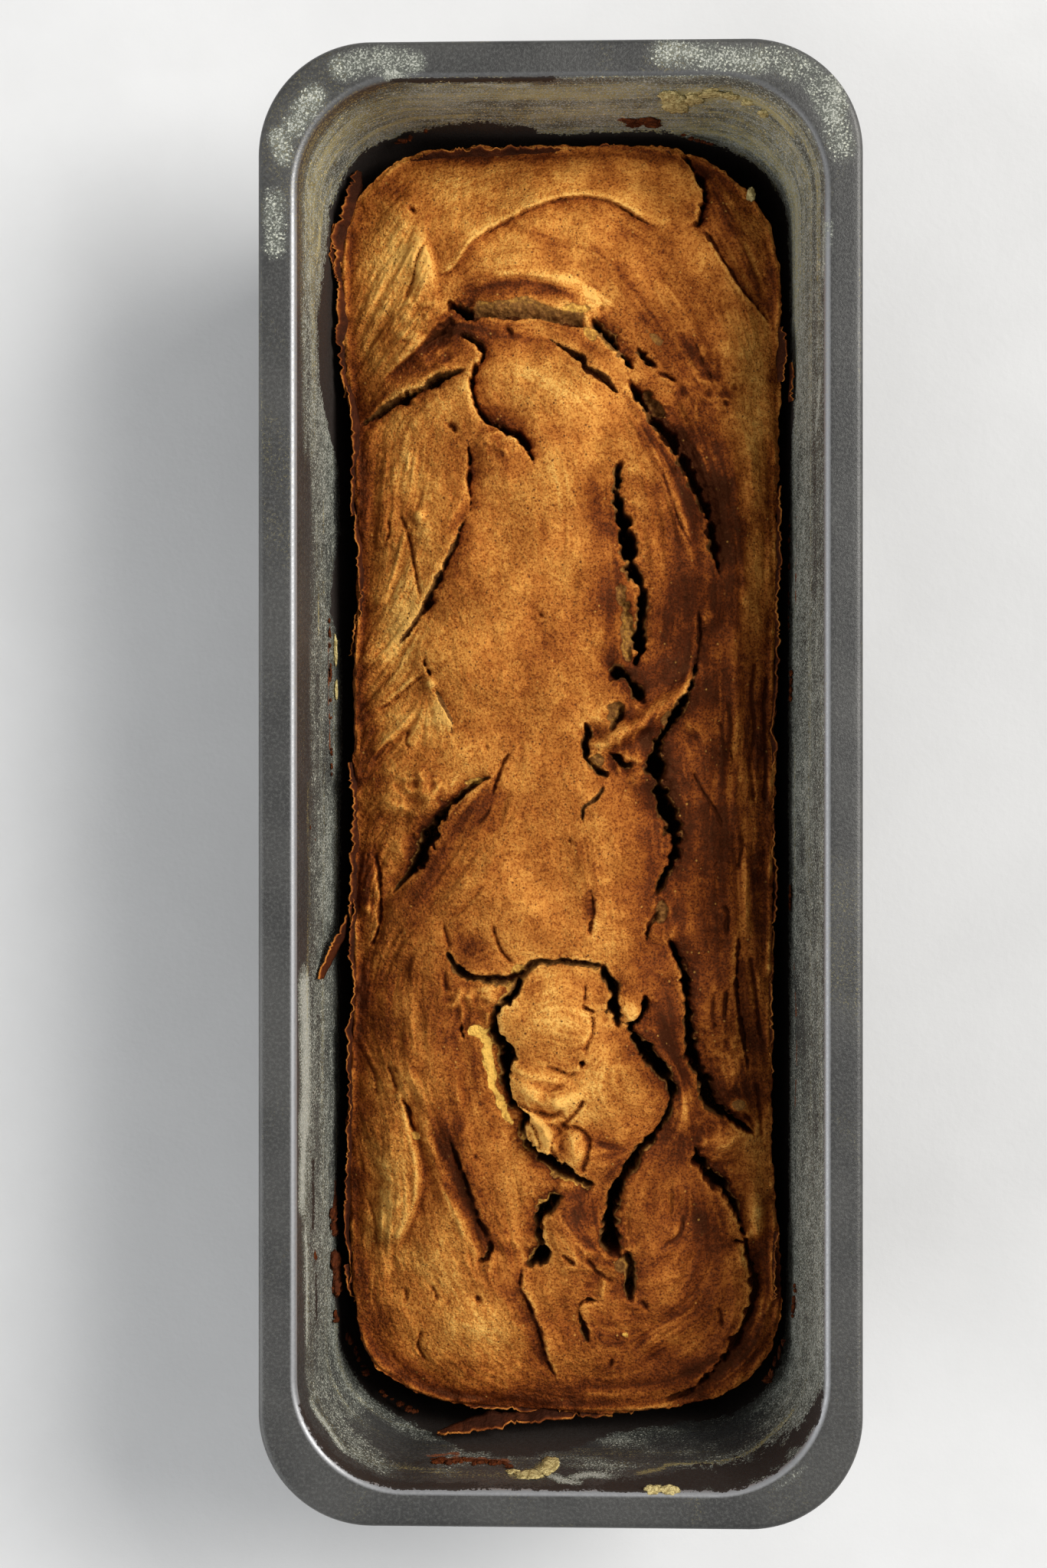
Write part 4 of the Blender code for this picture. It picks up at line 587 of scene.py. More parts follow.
# Finer strokes of the same kind, which follow the streaks more closely
TONES = (
    (-0.24, 9, ((-37, 118), (-32, 84), (-33, 50), (-36, 10), (-36, -12))),
    (-0.14, 9, ((-32, 94), (-30, 70))), (-0.22, 8, ((-36, -78), (-36, -92), (-34, -108))),
    (0.22, 5, ((38, -50), (37, -64))), (0.18, 6, ((35, -104), (36, -116))),
    (0.75, 2.4, ((-22, 108), (-17, 110.6), (-10, 110.4), (-3, 109.2), (3, 107))),
    (0.55, 1.6, ((-7, 121), (0, 118.6), (8, 115), (15, 108), (21, 100))),
    (0.5, 1.4, ((-2, 114), (4, 112), (10, 108.4))),
    (-0.8, 2.2, ((-14, 112.8), (-4, 112.4), (3, 110), (10, 106))),
    (0.8, 3.2, ((-24, 101.6), (-16, 100.4), (-6, 99.4), (4, 97), (12, 91.6))),
    (0.9, 3.4, ((-42, 84), (-36, 89.4), (-30, 93), (-24, 96.6))),
    (-0.45, 6, ((-12, 88), (0, 87), (6, 82))), (0.6, 3.4, ((-16, 73), (-13, 71), (-10, 72))),
    (0.7, 3, ((16, 82), (19, 76), (22, 70))), (0.5, 3.6, ((7, 66), (8, 60), (10, 56))),
    (-0.5, 5, ((2, 96), (12, 90), (19, 86))), (-0.35, 9, ((-4, 72), (0, 60), (-2, 46))),
    (0.65, 4, ((31, 78), (34, 68), (37, 58), (38, 48))), (0.45, 5, ((43, 14), (43, 0), (43, -40))),
    (0.95, 4.6, ((33, 134), (37, 126), (42, 116), (46, 104))),
    (0.6, 1.6, ((27, 98), (31, 91), (36, 83))), (0.55, 2.6, ((21, 46), (23, 40), (22, 33))),
    (0.4, 3, ((8, 44), (9, 36), (10, 28))), (0.65, 1.8, ((24.6, 17.6), (19, 12), (12, 9))),
    (0.5, 2, ((29, 17), (30, 13), (28, 10))), (0.6, 3, ((34, 24), (36, 12), (36, 0), (34, -12))),
    (-0.35, 4, ((12, -2), (13, -14), (12, -26), (12, -36))),
    (0.5, 2.6, ((4.6, -12), (6.6, -20), (5, -30))),
    (0.75, 2.6, ((-26, -7), (-21, -5), (-17, -3), (-15.5, 1.5))),
    (0.5, 3, ((-23, -30), (-19, -36), (-14, -38))), (0.5, 4, ((-28, 4), (-33, 0), (-30, -4))),
    (-0.4, 3, ((-30, 20), (-26, 14), (-25, 6), (-24, 0))), (-0.3, 5, ((-38, 28), (-34, 36), (-33, 46))),
    (0.45, 3, ((-44, 20), (-43, 6), (-42, -8), (-41, -26))),
    (0.6, 2.6, ((-42, -16), (-42.4, -30), (-41, -42))),
    (0.4, 3.6, ((-36, -40), (-37, -52), (-34, -60))), (0.55, 2.6, ((-22, -44), (-21, -50), (-24, -56))),
    (0.7, 2.6, ((-18.6, -58), (-18.8, -64), (-18, -69))), (-0.6, 8, ((-3, -45), (0, -52), (2, -60))),
    (-0.5, 5, ((5, -71), (-4, -70), (8, -66))), (-0.3, 6, ((13, -60), (18, -68), (12, -74))),
    (0.85, 3.4, ((6, -78), (10, -81), (13, -84))), (0.8, 2.6, ((21, -49), (24, -53), (23, -58))),
    (0.6, 2.6, ((22, -62), (26, -70), (25, -80))), (0.75, 4, ((0, -91), (3, -95), (7, -97), (7, -103))),
    (0.5, 1.4, ((9, -101), (13, -106), (15, -110))), (0.6, 3, ((32, -63), (36, -66), (41, -66))),
    (0.6, 3, ((33, -84), (38, -88), (42, -86))), (0.6, 3.4, ((30, -94), (34, -97), (38, -98))),
    (0.95, 2.8, ((44.6, -102), (45.4, -112), (42.4, -123), (35, -132), (28, -136))),
    (0.75, 2, ((17, -121), (20, -124.6), (23, -127))), (0.5, 3, ((21, -120), (26, -117), (30, -113))),
    (0.5, 2.2, ((4, -121), (9, -121.6), (14, -120))), (-0.35, 4, ((-34, -84), (-37, -92), (-40, -99))),
    (0.7, 2, ((-25, -76), (-23, -84), (-20, -92), (-17, -99))),
    (0.55, 2.2, ((-29.6, -74), (-27.6, -82), (-24.4, -91))),
    (0.6, 1.6, ((-18, -99), (-14, -101.6), (-10, -104.6))),
    (-0.45, 5, ((-24, -103), (-21, -112), (-16, -122), (-10, -128))),
    (0.6, 2.2, ((-10.4, -112), (-7, -119), (-5.2, -127))),
    (0.5, 4, ((-46, -60), (-45, -80), (-44, -100), (-43, -116))),
    (0.4, 2, ((12, 124), (18, 117), (24, 108))),
    (0.5, 2.6, ((-30, 139), (-10, 140), (10, 140), (24, 139))),
    (0.4, 2.6, ((-36, 112), (-38, 104), (-41, 96))), (-0.25, 5, ((-30, 132), (-14, 132), (2, 134))),
    (-0.3, 4, ((26, -50), (30, -44), (31, -52))),
)

# Torn fins of crust that stand at the loaf's edge: thickness, lean in degrees from upright
# (outward is above nought), and a route of (x, y, height of the top, height of the fin)
FINS = (
    (0.6, 34, ((-45.9, 136.8, 39.4, 1.6), (-47, 132.6, 40.6, 5), (-48.8, 127, 41, 7),
        (-50.4, 121, 41.2, 7), (-50.6, 116, 41.2, 7), (-50.2, 110, 41.4, 6.5), (-49.8, 104, 41.4, 6),
        (-49.5, 98, 41.6, 6), (-49.2, 92, 41, 5), (-48.9, 86, 40, 2))),
    (0.5, 9, ((-50.6, 124.4, 41.6, 2), (-51.2, 121, 42, 4), (-51, 117, 42, 4.4),
        (-50.2, 112.6, 41.4, 2))),
    (0.5, 16, ((-48, 88.5, 41.5, 2), (-47.1, 84, 42, 3.4), (-46.4, 80, 42, 4), (-46.1, 75, 42, 4),
        (-46.4, 69, 42, 4), (-46.8, 63, 41.5, 3.4), (-46.3, 59.6, 41, 2))),
    (0.5, 14, ((-46.2, 60.5, 41, 2), (-45.8, 55, 42, 4), (-45.4, 50, 42.5, 5), (-44.8, 44, 42.5, 5),
        (-44.6, 40.4, 42, 4), (-45.4, 36.4, 41, 3), (-46, 34.4, 40, 1.6))),
    (0.5, 22, ((-46, 38, 40.5, 2), (-46.5, 35, 40.5, 3), (-47.2, 31, 40, 3), (-47.7, 28.6, 39, 1.6))),
    (0.6, 17, ((-47.3, 4.8, 41, 1.6), (-46.9, 2.4, 41.5, 3), (-46.6, 0, 42, 5), (-46.4, -3, 42, 6),
        (-46.4, -8, 42.2, 6.6), (-46.5, -14, 42.2, 6.6), (-46.7, -20, 42, 6), (-46.9, -25, 42, 5),
        (-47.2, -29, 41.5, 3.6), (-47.4, -31, 41, 2))),
    (0.5, 10, ((-46.4, -25, 42, 3), (-46.3, -30, 42.4, 4), (-46.6, -35, 42.4, 4), (-46.9, -39, 42, 4),
        (-46.6, -44, 42, 4), (-46.8, -49, 42, 4), (-47.3, -54, 42, 4), (-47.9, -61, 41.8, 4),
        (-47.4, -65, 42, 4), (-47.3, -71, 42, 4), (-47.6, -78, 42, 3.6), (-47.8, -85, 41.6, 3.4),
        (-48, -93, 41, 3.4), (-48, -100, 40.6, 3.6), (-47.4, -106, 40, 3), (-46.8, -111, 39.6, 2))),
    (0.6, 24, ((-48.1, -107, 39.6, 1.6), (-47.9, -110, 39.6, 3), (-47.5, -113, 39.4, 3.4),
        (-46.9, -115.6, 38.6, 1.6))),
    (0.5, 40, ((-34, 139.2, 39.4, 2), (-26, 140.8, 39.8, 3), (-16, 141.2, 39.8, 3),
        (-6, 141.4, 39.8, 3), (4, 141.4, 39.8, 3), (14, 141, 39.6, 3), (24, 140, 39.4, 2))),
    (0.5, 26, ((48.9, 101, 42.4, 2), (49.2, 97, 43, 4), (49.1, 92, 43, 4), (48.7, 88.8, 42, 2))),
    (0.5, 6, ((50.3, 93, 42, 2), (50.6, 89, 42, 3), (50.5, 84.6, 41, 2))),
    (0.6, 14, ((48.4, 66, 40, 2), (48.2, 58, 40.5, 3), (47.6, 48, 40.6, 3.4), (47.6, 38, 40.6, 3.4),
        (47.3, 28, 40.4, 3.2), (46.7, 14, 40.2, 3), (46.5, 2, 40.2, 3), (46.6, -12, 40.2, 3),
        (46.9, -22, 40.2, 3), (46.4, -32, 40, 2.4), (46.2, -44, 40, 2.6), (46, -56, 40, 2.6),
        (46.4, -64, 39.6, 2))),
    (0.5, 20, ((47.2, -99, 40.6, 2), (46.9, -103, 41.4, 3), (46.7, -108, 41.4, 3.4),
        (46.9, -114, 40.6, 2))),
    (0.5, 38, ((-22, -138, 38.6, 1.6), (-16, -138.8, 39.2, 4), (-9, -139.4, 39.2, 4.4),
        (-2, -139.6, 39.2, 4), (4, -139.4, 38.6, 2))),
    (0.5, 44, ((-1, -138.8, 39.4, 2), (3, -139.4, 39.6, 4.6), (7, -139.8, 39.6, 4.6),
        (12, -139.6, 39, 3), (17, -138.8, 38.4, 1.6))),
)

# Crumbs of baked crust stuck to the tin: how many, their size, and the ends of the line that they
# lie along
CRUST_TRAILS = (
    (16, 1.5, (14, 145.6, 44), (20.6, 145.5, 46)),
    (5, 0.9, (-50.8, -117.5, 38.4), (-50.6, -120.4, 37.4)),
    (4, 0.8, (-53.7, -101.6, 55), (-53.6, -103.4, 54.4)),
    (2, 0.4, (-54.1, -9.3, 58), (-53.4, -12.7, 53)), (16, 1.4, (-51.2, -92, 40), (-50.9, -101, 38)),
    (22, 2, (-50.9, -105, 38.6), (-50.4, -115, 36)), (16, 0.55, (-51.6, 37, 43.6), (-51.3, 22, 42.8)),
    (12, 0.45, (-51.4, 19, 42.8), (-51.2, 2, 41.6)), (8, 0.7, (50.4, -22, 37), (50.4, -28, 37)),
    (8, 0.7, (50.6, 25, 38), (50.5, 18, 37.4)), (9, 0.8, (51.4, -111, 42), (50.8, -118.6, 39.6)),
    (10, 0.9, (49.6, -122, 38), (45, -134, 35)), (30, 1.1, (-28.6, -147, 54.2), (-11, -147.2, 55.6)),
    (14, 0.8, (-48.6, -124, 33.4), (-44, -133.6, 32)), (14, 0.8, (-42, -136.4, 32), (-33, -141.6, 32)),
    (8, 0.7, (-37.6, 142.2, 39.8), (-30, 144.4, 42.4)), (9, 0.6, (24, 144.4, 39.6), (33.6, 142.6, 36)),
    (10, 0.6, (50.4, 60, 36), (50.2, 34, 35)),
)

# Smears of dough on the tin: a place and half sizes
DOUGH_BITS = (
    (-2.2, -147.2, 55.6, 1.9, 0.6, 3.8), (-3.6, -147.7, 59.4, 1.9, 0.6, 2.8),
    (-6.6, -148.1, 61.8, 3.2, 0.5, 2.2), (-10.3, -147.9, 60, 1.4, 0.4, 1.2),
    (20, -149.3, 69, 1.9, 1, 0.9), (23.4, -149.3, 69.3, 2.1, 1.1, 0.8), (25, 147, 55.2, 3, 0.5, 4.6),
    (23.4, 147.7, 60.2, 2.2, 0.45, 2.4), (28.6, 147.5, 58.2, 2.2, 0.45, 2.8),
    (32.4, 147.9, 61, 2.8, 0.45, 2), (36.8, 147.4, 60.4, 2.8, 0.45, 1.8),
    (40.8, 146.2, 59.4, 2.2, 0.5, 1.6), (44, 144.2, 58.4, 1.6, 0.6, 1.4),
    (41.7, 130.4, 40.6, 0.9, 1.5, 0.8), (-50.7, 30, 38.6, 0.4, 3.2, 0.5),
    (-50.6, 21, 38.2, 0.35, 2, 0.4),
)

# The torn scrap by the near wall and the flake on the left wall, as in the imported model
SCRAP_ROUTE = ((-27.5, -144.2, 44), (-18, -142.9, 41.5), (-8, -141.8, 39.5), (3, -140.5, 37.5),
               (11, -140.2, 36.2))
FLAKE_ROUTE = ((-48.1, -29, 39.5), (-49.6, -33.4, 44.0), (-51.2, -38, 48.4), (-52.5, -42.4, 53.2))


# Shapes and noise

def way_along(points):
    """How far along a line each of its points is, seen from above."""
    lengths = np.linalg.norm(np.diff(points[:, :2], axis=0), axis=1)
    return np.concatenate(([0.0], np.cumsum(lengths)))


def spaced_evenly(points, samples):
    """A count of evenly spaced points along a line."""
    travelled = way_along(points)
    at = np.linspace(0, travelled[-1], samples)
    return np.stack([np.interp(at, travelled, column) for column in points.T], 1)


def smooth_route(points, step, closed=False):
    """A Catmull-Rom curve through the points, sampled evenly about every step."""
    points = np.array(points, dtype=float)
    count = len(points)
    spans = count if closed else count - 1
    dense = []
    for index in range(spans):
        if closed:
            before, start, end, after = (points[(index + k) % count] for k in (-1, 0, 1, 2))
        else:
            start, end = points[index], points[index + 1]
            before = points[index - 1] if index else 2 * start - end
            after = points[index + 2] if index + 2 < count else 2 * end - start
        for t in np.linspace(0, 1, 12, endpoint=False):
            dense.append(0.5 * (2 * start + (end - before) * t
                                + (2 * before - 5 * start + 4 * end - after) * t ** 2
                                + (3 * start - before - 3 * end + after) * t ** 3))
    dense.append(points[0] if closed else points[-1])
    dense = np.array(dense)
    samples = max(2, int(round(way_along(dense)[-1] / step)) + 1)
    even = spaced_evenly(dense, samples)
    return even[:-1] if closed else even


def smooth_noise(points, scale, seed):
    """Noise between -1 and 1 that varies over the scale, at 2-D points."""
    size = 512
    table = np.random.default_rng(seed).uniform(-1, 1, (size, size))
    scaled = points / scale
    cell = np.floor(scaled).astype(int)
    part = scaled - cell
    part = part * part * (3 - 2 * part)
    x0, y0 = cell[:, 0] % size, cell[:, 1] % size
    x1, y1 = (x0 + 1) % size, (y0 + 1) % size
    low = table[x0, y0] + (table[x1, y0] - table[x0, y0]) * part[:, 0]
    high = table[x0, y1] + (table[x1, y1] - table[x0, y1]) * part[:, 0]
    return low + (high - low) * part[:, 1]


def layered_noise(points, scale, layers, seed):
    """Layers of noise, each half as large and half as strong as the one before."""
    total = np.zeros(len(points))
    for layer in range(layers):
        total += smooth_noise(points, scale / 2 ** layer, seed + layer) / 2 ** layer
    return total


def smooth_step(low, high, value):
    """A share that rises smoothly from nought at the low value to one at the high."""
    share = np.clip((value - low) / (high - low), 0, 1)
    return share * share * (3 - 2 * share)


def fade_at_ends(low, high, travel, length):
    """A share that falls to nought at both ends of a route."""
    return smooth_step(low, high, travel) * smooth_step(low, high, length - travel)


def raise_to(layer, near, values):
    """Lift a layer's values to at least the new ones at some of its points."""
    layer[near] = np.maximum(layer[near], values)


def distance_to_line(points, starts, ends, limit):
    """How far each point is from a run of straight pieces, up to a limit."""
    best = np.full(len(points), limit)
    for start, end in zip(starts, ends):
        step = end - start
        share = np.clip((points - start) @ step / (step @ step), 0, 1)
        best = np.minimum(best, np.linalg.norm(points - start - share[:, None] * step, axis=1))
    return best


def near_route(points, route, reach):
    """Which points lie within reach of the route's box."""
    low = route[:, :2].min(0) - reach
    high = route[:, :2].max(0) + reach
    return np.nonzero(np.all((points > low) & (points < high), axis=1))[0]


def along_route(points, route):
    """Distance to the route, side (1 to its left, -1 to its right), width there, way along and
    the route's length."""
    distance = np.full(len(points), 1e9)
    side = np.zeros(len(points))
    width = np.zeros(len(points))
    travel = np.zeros(len(points))
    gone = 0.0
    for start, end in zip(route, route[1:]):
        step = end[:2] - start[:2]
        length = np.hypot(*step)
        offset = points - start[:2]
        share = np.clip(offset @ step / length ** 2, 0, 1)
        away = offset - share[:, None] * step
        span = np.hypot(away[:, 0], away[:, 1])
        closer = span < distance
        aside = (offset[:, 1] * step[0] - offset[:, 0] * step[1]) / length
        distance[closer] = span[closer]
        side[closer] = (np.clip(aside / np.maximum(span, 0.2), -1, 1))[closer]
        if len(start) > 2:
            width[closer] = (start[2] + (end[2] - start[2]) * share)[closer]
        travel[closer] = (gone + share * length)[closer]
        gone += length
    return distance, side, width, travel, gone


def near_and_along(points, route, step, reach):
    """The points within reach of a smoothed route, and what along_route says of them."""
    route = smooth_route(route, step)
    near = near_route(points, route, reach)
    return near, *along_route(points[near], route)


def turned(points, centre_x, centre_y, degrees):
    """The points seen from a centre, in axes turned by an angle."""
    angle = math.radians(degrees)
    x = points[:, 0] - centre_x
    y = points[:, 1] - centre_y
    return x * math.cos(angle) + y * math.sin(angle), y * math.cos(angle) - x * math.sin(angle)


# The way that the wrinkles run

FIELD_STEP = 2.0
FIELD_HALF = (56.0, 150.0)


class FlowField:
    """The direction of the wrinkles, without a sense, on a coarse grid."""

    def __init__(self, routes):
        columns = int(2 * FIELD_HALF[0] / FIELD_STEP) + 1
        rows = int(2 * FIELD_HALF[1] / FIELD_STEP) + 1
        x, y = np.meshgrid(np.arange(columns) * FIELD_STEP - FIELD_HALF[0],
                           np.arange(rows) * FIELD_STEP - FIELD_HALF[1], indexing="ij")
        double_cos = np.zeros_like(x)
        double_sin = np.zeros_like(x)
        for weight, route in routes:
            centre = smooth_route(route, FIELD_STEP)[:, :2]
            heading = np.gradient(centre, axis=0)
            angle = 2 * np.arctan2(heading[:, 1], heading[:, 0])
            for (px, py), a in zip(centre, angle):
                pull = weight / ((x - px) ** 2 + (y - py) ** 2 + 3.0) ** 1.5
                double_cos += pull * np.cos(a)
                double_sin += pull * np.sin(a)
        size = np.hypot(double_cos, double_sin) + 1e-12
        self.values = np.stack([double_cos / size, double_sin / size], -1)

    def direction(self, points):
        scaled = (points + np.array(FIELD_HALF)) / FIELD_STEP
        limit = np.array(self.values.shape[:2]) - 1.001
        scaled = np.clip(scaled, 0, limit)
        cell = scaled.astype(int)
        part = scaled - cell
        x, y = cell[:, 0], cell[:, 1]
        low = self.values[x, y] * (1 - part[:, :1]) + self.values[x + 1, y] * part[:, :1]
        high = self.values[x, y + 1] * (1 - part[:, :1]) + self.values[x + 1, y + 1] * part[:, :1]
        value = low * (1 - part[:, 1:]) + high * part[:, 1:]
        angle = np.arctan2(value[:, 1], value[:, 0]) / 2
        return np.stack([np.cos(angle), np.sin(angle)], 1)


def streaks(points, field, width, reach, seed):
    """Noise drawn out along the wrinkles: streaks of a width and a length, of spread one."""
    steps = int(round(reach / (0.75 * width)))
    stride = reach / steps
    total = smooth_noise(points, width, seed)
    first = field.direction(points)
    for sense in (1.0, -1.0):
        at = points.copy()
        heading = first * sense
        for step in range(1, steps + 1):
            at = at + heading * stride
            ahead = field.direction(at)
            ahead *= np.where((ahead * heading).sum(1) < 0, -1.0, 1.0)[:, None]
            heading = ahead
            total += smooth_noise(at, width, seed) * math.cos(math.pi * step / (2 * steps + 2))
    return (total - total.mean()) / total.std()


# Loaf

def outward_of(curve):
    """The direction out of a closed anticlockwise curve at each of its points."""
    tangent = np.roll(curve, -1, 0) - np.roll(curve, 1, 0)
    tangent /= np.linalg.norm(tangent, axis=1)[:, None]
    return np.stack([tangent[:, 1], -tangent[:, 0]], 1)


def ragged(curve, amount, seed):
    """A closed curve with a torn, uneven edge."""
    torn = layered_noise(curve, 5.0, 3, seed) + 0.7 * smooth_noise(curve, 0.9, seed + 5)
    return curve + outward_of(curve) * (amount * torn)[:, None]


def run_between(curve, start, end, samples):
    """Evenly spaced points along a closed curve from one index on to another."""
    count = len(curve)
    picked = curve[np.arange(start, end + (count if end < start else 0) + 1) % count]
    return spaced_evenly(picked, samples)


def loaf_grid():
    """Rows and columns of points that fill the outline, as a patch between its four sides."""
    curve = ragged(smooth_route(OUTLINE, OUTLINE_STEP, closed=True), OUTLINE_RAG, 11)
    corner = [int(np.argmin(np.linalg.norm(curve - np.array(place), axis=1)))
              for place in OUTLINE_CORNERS]
    near, right, far, left = (
        run_between(curve, corner[side], corner[(side + 1) % 4], (LOAF_COLUMNS, LOAF_ROWS)[side % 2])
        for side in range(4))
    far, left = far[::-1], left[::-1]
    u = np.linspace(0, 1, LOAF_COLUMNS)[None, :, None]
    v = np.linspace(0, 1, LOAF_ROWS)[:, None, None]
    sides = (1 - v) * near[None] + v * far[None] + (1 - u) * left[:, None] + u * right[:, None]
    corners = ((1 - u) * (1 - v) * near[0] + u * (1 - v) * near[-1]
               + (1 - u) * v * far[0] + u * v * far[-1])
    return sides - corners


def edge_distance(points):
    """How far in from the loaf's outline each point is, up to a limit."""
    curve = smooth_route(OUTLINE, ROUTE_STEP, closed=True)
    distance = np.full(len(points), EDGE_REACH)
    rim = (np.abs(points[:, 0]) > 30) | (np.abs(points[:, 1]) > 118)
    distance[rim] = distance_to_line(points[rim], curve, np.roll(curve, -1, 0), EDGE_REACH)
    return distance


def dome_height(points):
    """The loaf's plain dome, flat along the middle and falling towards its edge."""
    across = np.clip(np.abs(points[:, 0]) / DOME_HALF_WIDTH, 0, 1) ** 2.6
    along = np.clip(np.abs(points[:, 1]) / DOME_HALF_LENGTH, 0, 1) ** 6
    return LOAF_EDGE_HEIGHT + LOAF_CROWN * (1 - across) * (1 - along)


def swelling(points):
    """Ropes, lobes, lumps and soft folds, in millimetres above the dome."""
    height = 0.9 * smooth_noise(points, 16, 21) + 0.6 * smooth_noise(points, 7, 22)
    for rise, route in ROPES:
        near, distance, _, width, travel, length = near_and_along(points, route, ROUTE_STEP, 9)
        ends = fade_at_ends(-0.5, 4, travel, length)
        across = 2 * distance / width
        height[near] += 1.35 * rise * (0.4 + 0.6 * ends) * np.exp(-1.5 * across ** 2)
    for centre_x, centre_y, half_x, half_y, turn, rise in LOBES:
        across, along = turned(points, centre_x, centre_y, turn)
        spread = (across / half_x) ** 2 + (along / half_y) ** 2
        height += 1.35 * rise * np.exp(-spread ** 1.3 * 0.8)
    for step, reach, route in FOLDS:
        near, distance, side, _, travel, length = near_and_along(
            points, route, ROUTE_STEP, 4 * reach)
        ends = fade_at_ends(-0.1, 5, travel, length)
        edge = side * smooth_step(0, 0.9, distance)
        height[near] += 0.85 * step * ends * edge * np.exp(-(distance / reach) ** 1.2)
    return height


def jagged_distance(points, distance, width):
    """The distance to a crack with its lips torn unevenly."""
    rough = 0.42 * smooth_noise(points, 1.8, 31) + 0.42 * smooth_noise(points, 0.8, 32)
    rough += 0.4 * smooth_noise(points, 4.0, 33) * np.clip(width / 2, 0.2, 1)
    return distance + rough * np.clip(width, 0.6, 2.2) / 1.6


class Surface:
    """The loaf's top: its points, how the cracks sink it, what each place is made of, and where shade
    and highlights are painted.
    """

    def __init__(self, points):
        self.points = points
        self.drop, self.lift, self.deep, self.gap = np.zeros((4, len(points)))
        self.crumb, self.pale, self.lip, self.shade = np.zeros((4, len(points)))

    def cut_crack(self, depth, lifts, crumbs, route):
        """An open crack, with the lift of the crust and the torn crumb to its left and right, painted
        shade in it and beside it, and a painted highlight on its lips.
        """
        near, distance, side, width, travel, length = near_and_along(self.points, route, 0.8, 13)
        points = self.points[near]
        ends = fade_at_ends(-0.6, 1.6, travel, length)
        far_ends = fade_at_ends(-0.5, 6, travel, length)
        distance = jagged_distance(points, distance, width)
        left = 0.5 + 0.5 * side
        crumb = (crumbs[0] * left + crumbs[1] * (1 - left)) * (0.35 + 0.65 * ends)
        uneven = smooth_noise(points, 4.0, 34)
        wide = crumb > 2
        crumb *= np.where(wide, 0.95 + 0.3 * uneven, np.clip(0.8 + 0.8 * uneven, 0.05, 1.7))
        pinch = smooth_noise(np.stack([travel, 0 * travel + depth * 9.7], 1), 3.1, 39)
        half = 0.42 * width * np.clip(0.9 + 0.55 * pinch, 0.2, 2)
        beyond = distance - half
        inside = smooth_step(0.28, -0.22, beyond)
        narrow = np.clip(width / 1.5, 0.35, 1)
        floor = depth * narrow * (0.5 + 0.5 * np.clip(-beyond / (0.7 * half), 0, 1)) * ends
        torn = smooth_step(0.16, -0.12, beyond - crumb) * (crumb > 0.12)
        slope = np.clip(1 - beyond / np.maximum(crumb, 0.1), 0, 1)
        bank = min(depth, 7.0) * (0.12 + 0.45 * slope ** 1.4)
        bank *= 1 + 0.25 * smooth_noise(points, 1.1, 35)
        outside = np.clip(beyond - crumb, 0, None)
        left_high = 0.5 + 0.5 * np.clip((lifts[0] - lifts[1]) / 0.6, -1, 1)
        high = left_high * left + (1 - left_high) * (1 - left)
        shoulder = 0.045 * np.exp(-outside / 0.6) + (0.17 - 0.14 * high) * np.exp(-outside / 2.6)
        shoulder *= min(depth, 8)
        drop = np.maximum(np.maximum(floor * inside, bank * torn * ends), shoulder * narrow * ends)
        raise_to(self.drop, near, drop)
        lift = (lifts[0] * left + lifts[1] * (1 - left)) * far_ends
        self.lift[near] += 1.4 * lift * np.exp(-outside / 3.8) * (1 - 0.3 * np.exp(-outside / 0.4))
        # Painted shade in the open crack, darkest in its core
        open_part = np.clip(0.86 + 0.30 * pinch + 0.24 * smooth_noise(points, 2.2, 40), 0, 1.15)
        gap = np.clip(0.5 - (beyond + 0.16) / 1.1, 0, 1) * ends * open_part
        gap *= np.clip(0.5 + (depth - 1.5) / 4, 0, 1)
        raise_to(self.gap, near, gap)
        core = np.clip((0.1 - beyond) / 0.8, 0, 1) * ends * np.clip(depth / 8, 0, 1)
        raise_to(self.deep, near, core)
        bare = inside * np.clip(1.4 * crumb, 0, 0.9)
        calm = np.where(wide, 0.6, 1.0)
        raise_to(self.crumb, near, np.maximum(torn, bare) * ends)
        pale = calm * torn * ends * (0.2 + 0.8 * (1 - slope) ** 2) * np.clip(crumb, 0, 1)
        raise_to(self.pale, near, pale)
        # Painted highlight along the crack's lips, stronger on the higher side
        lip = ends * np.exp(-(outside / 0.6) ** 2) * narrow * (0.35 + 0.65 * high)
        raise_to(self.lip, near, lip)
        # Painted shade beside the crack, stronger on its lower side
        shade = ends * np.exp(-outside / 2.3) * narrow * (1 - 0.7 * high)
        raise_to(self.shade, near, shade)

    def cut_crease(self, depth, width, route):
        """A fine groove that doesn't open, with painted shade along it."""
        near, distance, _, _, travel, length = near_and_along(self.points, route, 0.6, 4)
        points = self.points[near]
        ends = fade_at_ends(-0.4, 1.0, travel, length)
        distance = distance + 0.16 * smooth_noise(points, 0.9, 36)
        groove = np.exp(-np.clip(distance / (width * 0.62), 0, None) ** 2)
        self.drop[near] += ends * (depth * groove + 0.16 * depth * np.exp(-np.abs(distance) / 1.4))
        # Painted shade along the groove
        raise_to(self.gap, near, ends * groove * min(0.3 + 0.22 * depth, 0.62))

    def bare_crumb(self, place):
        """An oval where the crust is torn off and the crumb shows."""
        centre_x, centre_y, half_x, half_y, turn, sink, pale = place
        across, along = turned(self.points, centre_x, centre_y, turn)
        spread = np.sqrt((across / half_x) ** 2 + (along / half_y) ** 2)
        spread += 0.36 * smooth_noise(self.points, 1.3, 37) * (spread < 2)
        inside = smooth_step(1.08, 0.86, spread)
        self.drop += inside * sink * (0.75 + 0.35 * smooth_noise(self.points, 1.0, 38))
        self.crumb = np.maximum(self.crumb, inside)
        self.pale = np.maximum(self.pale, inside * pale)


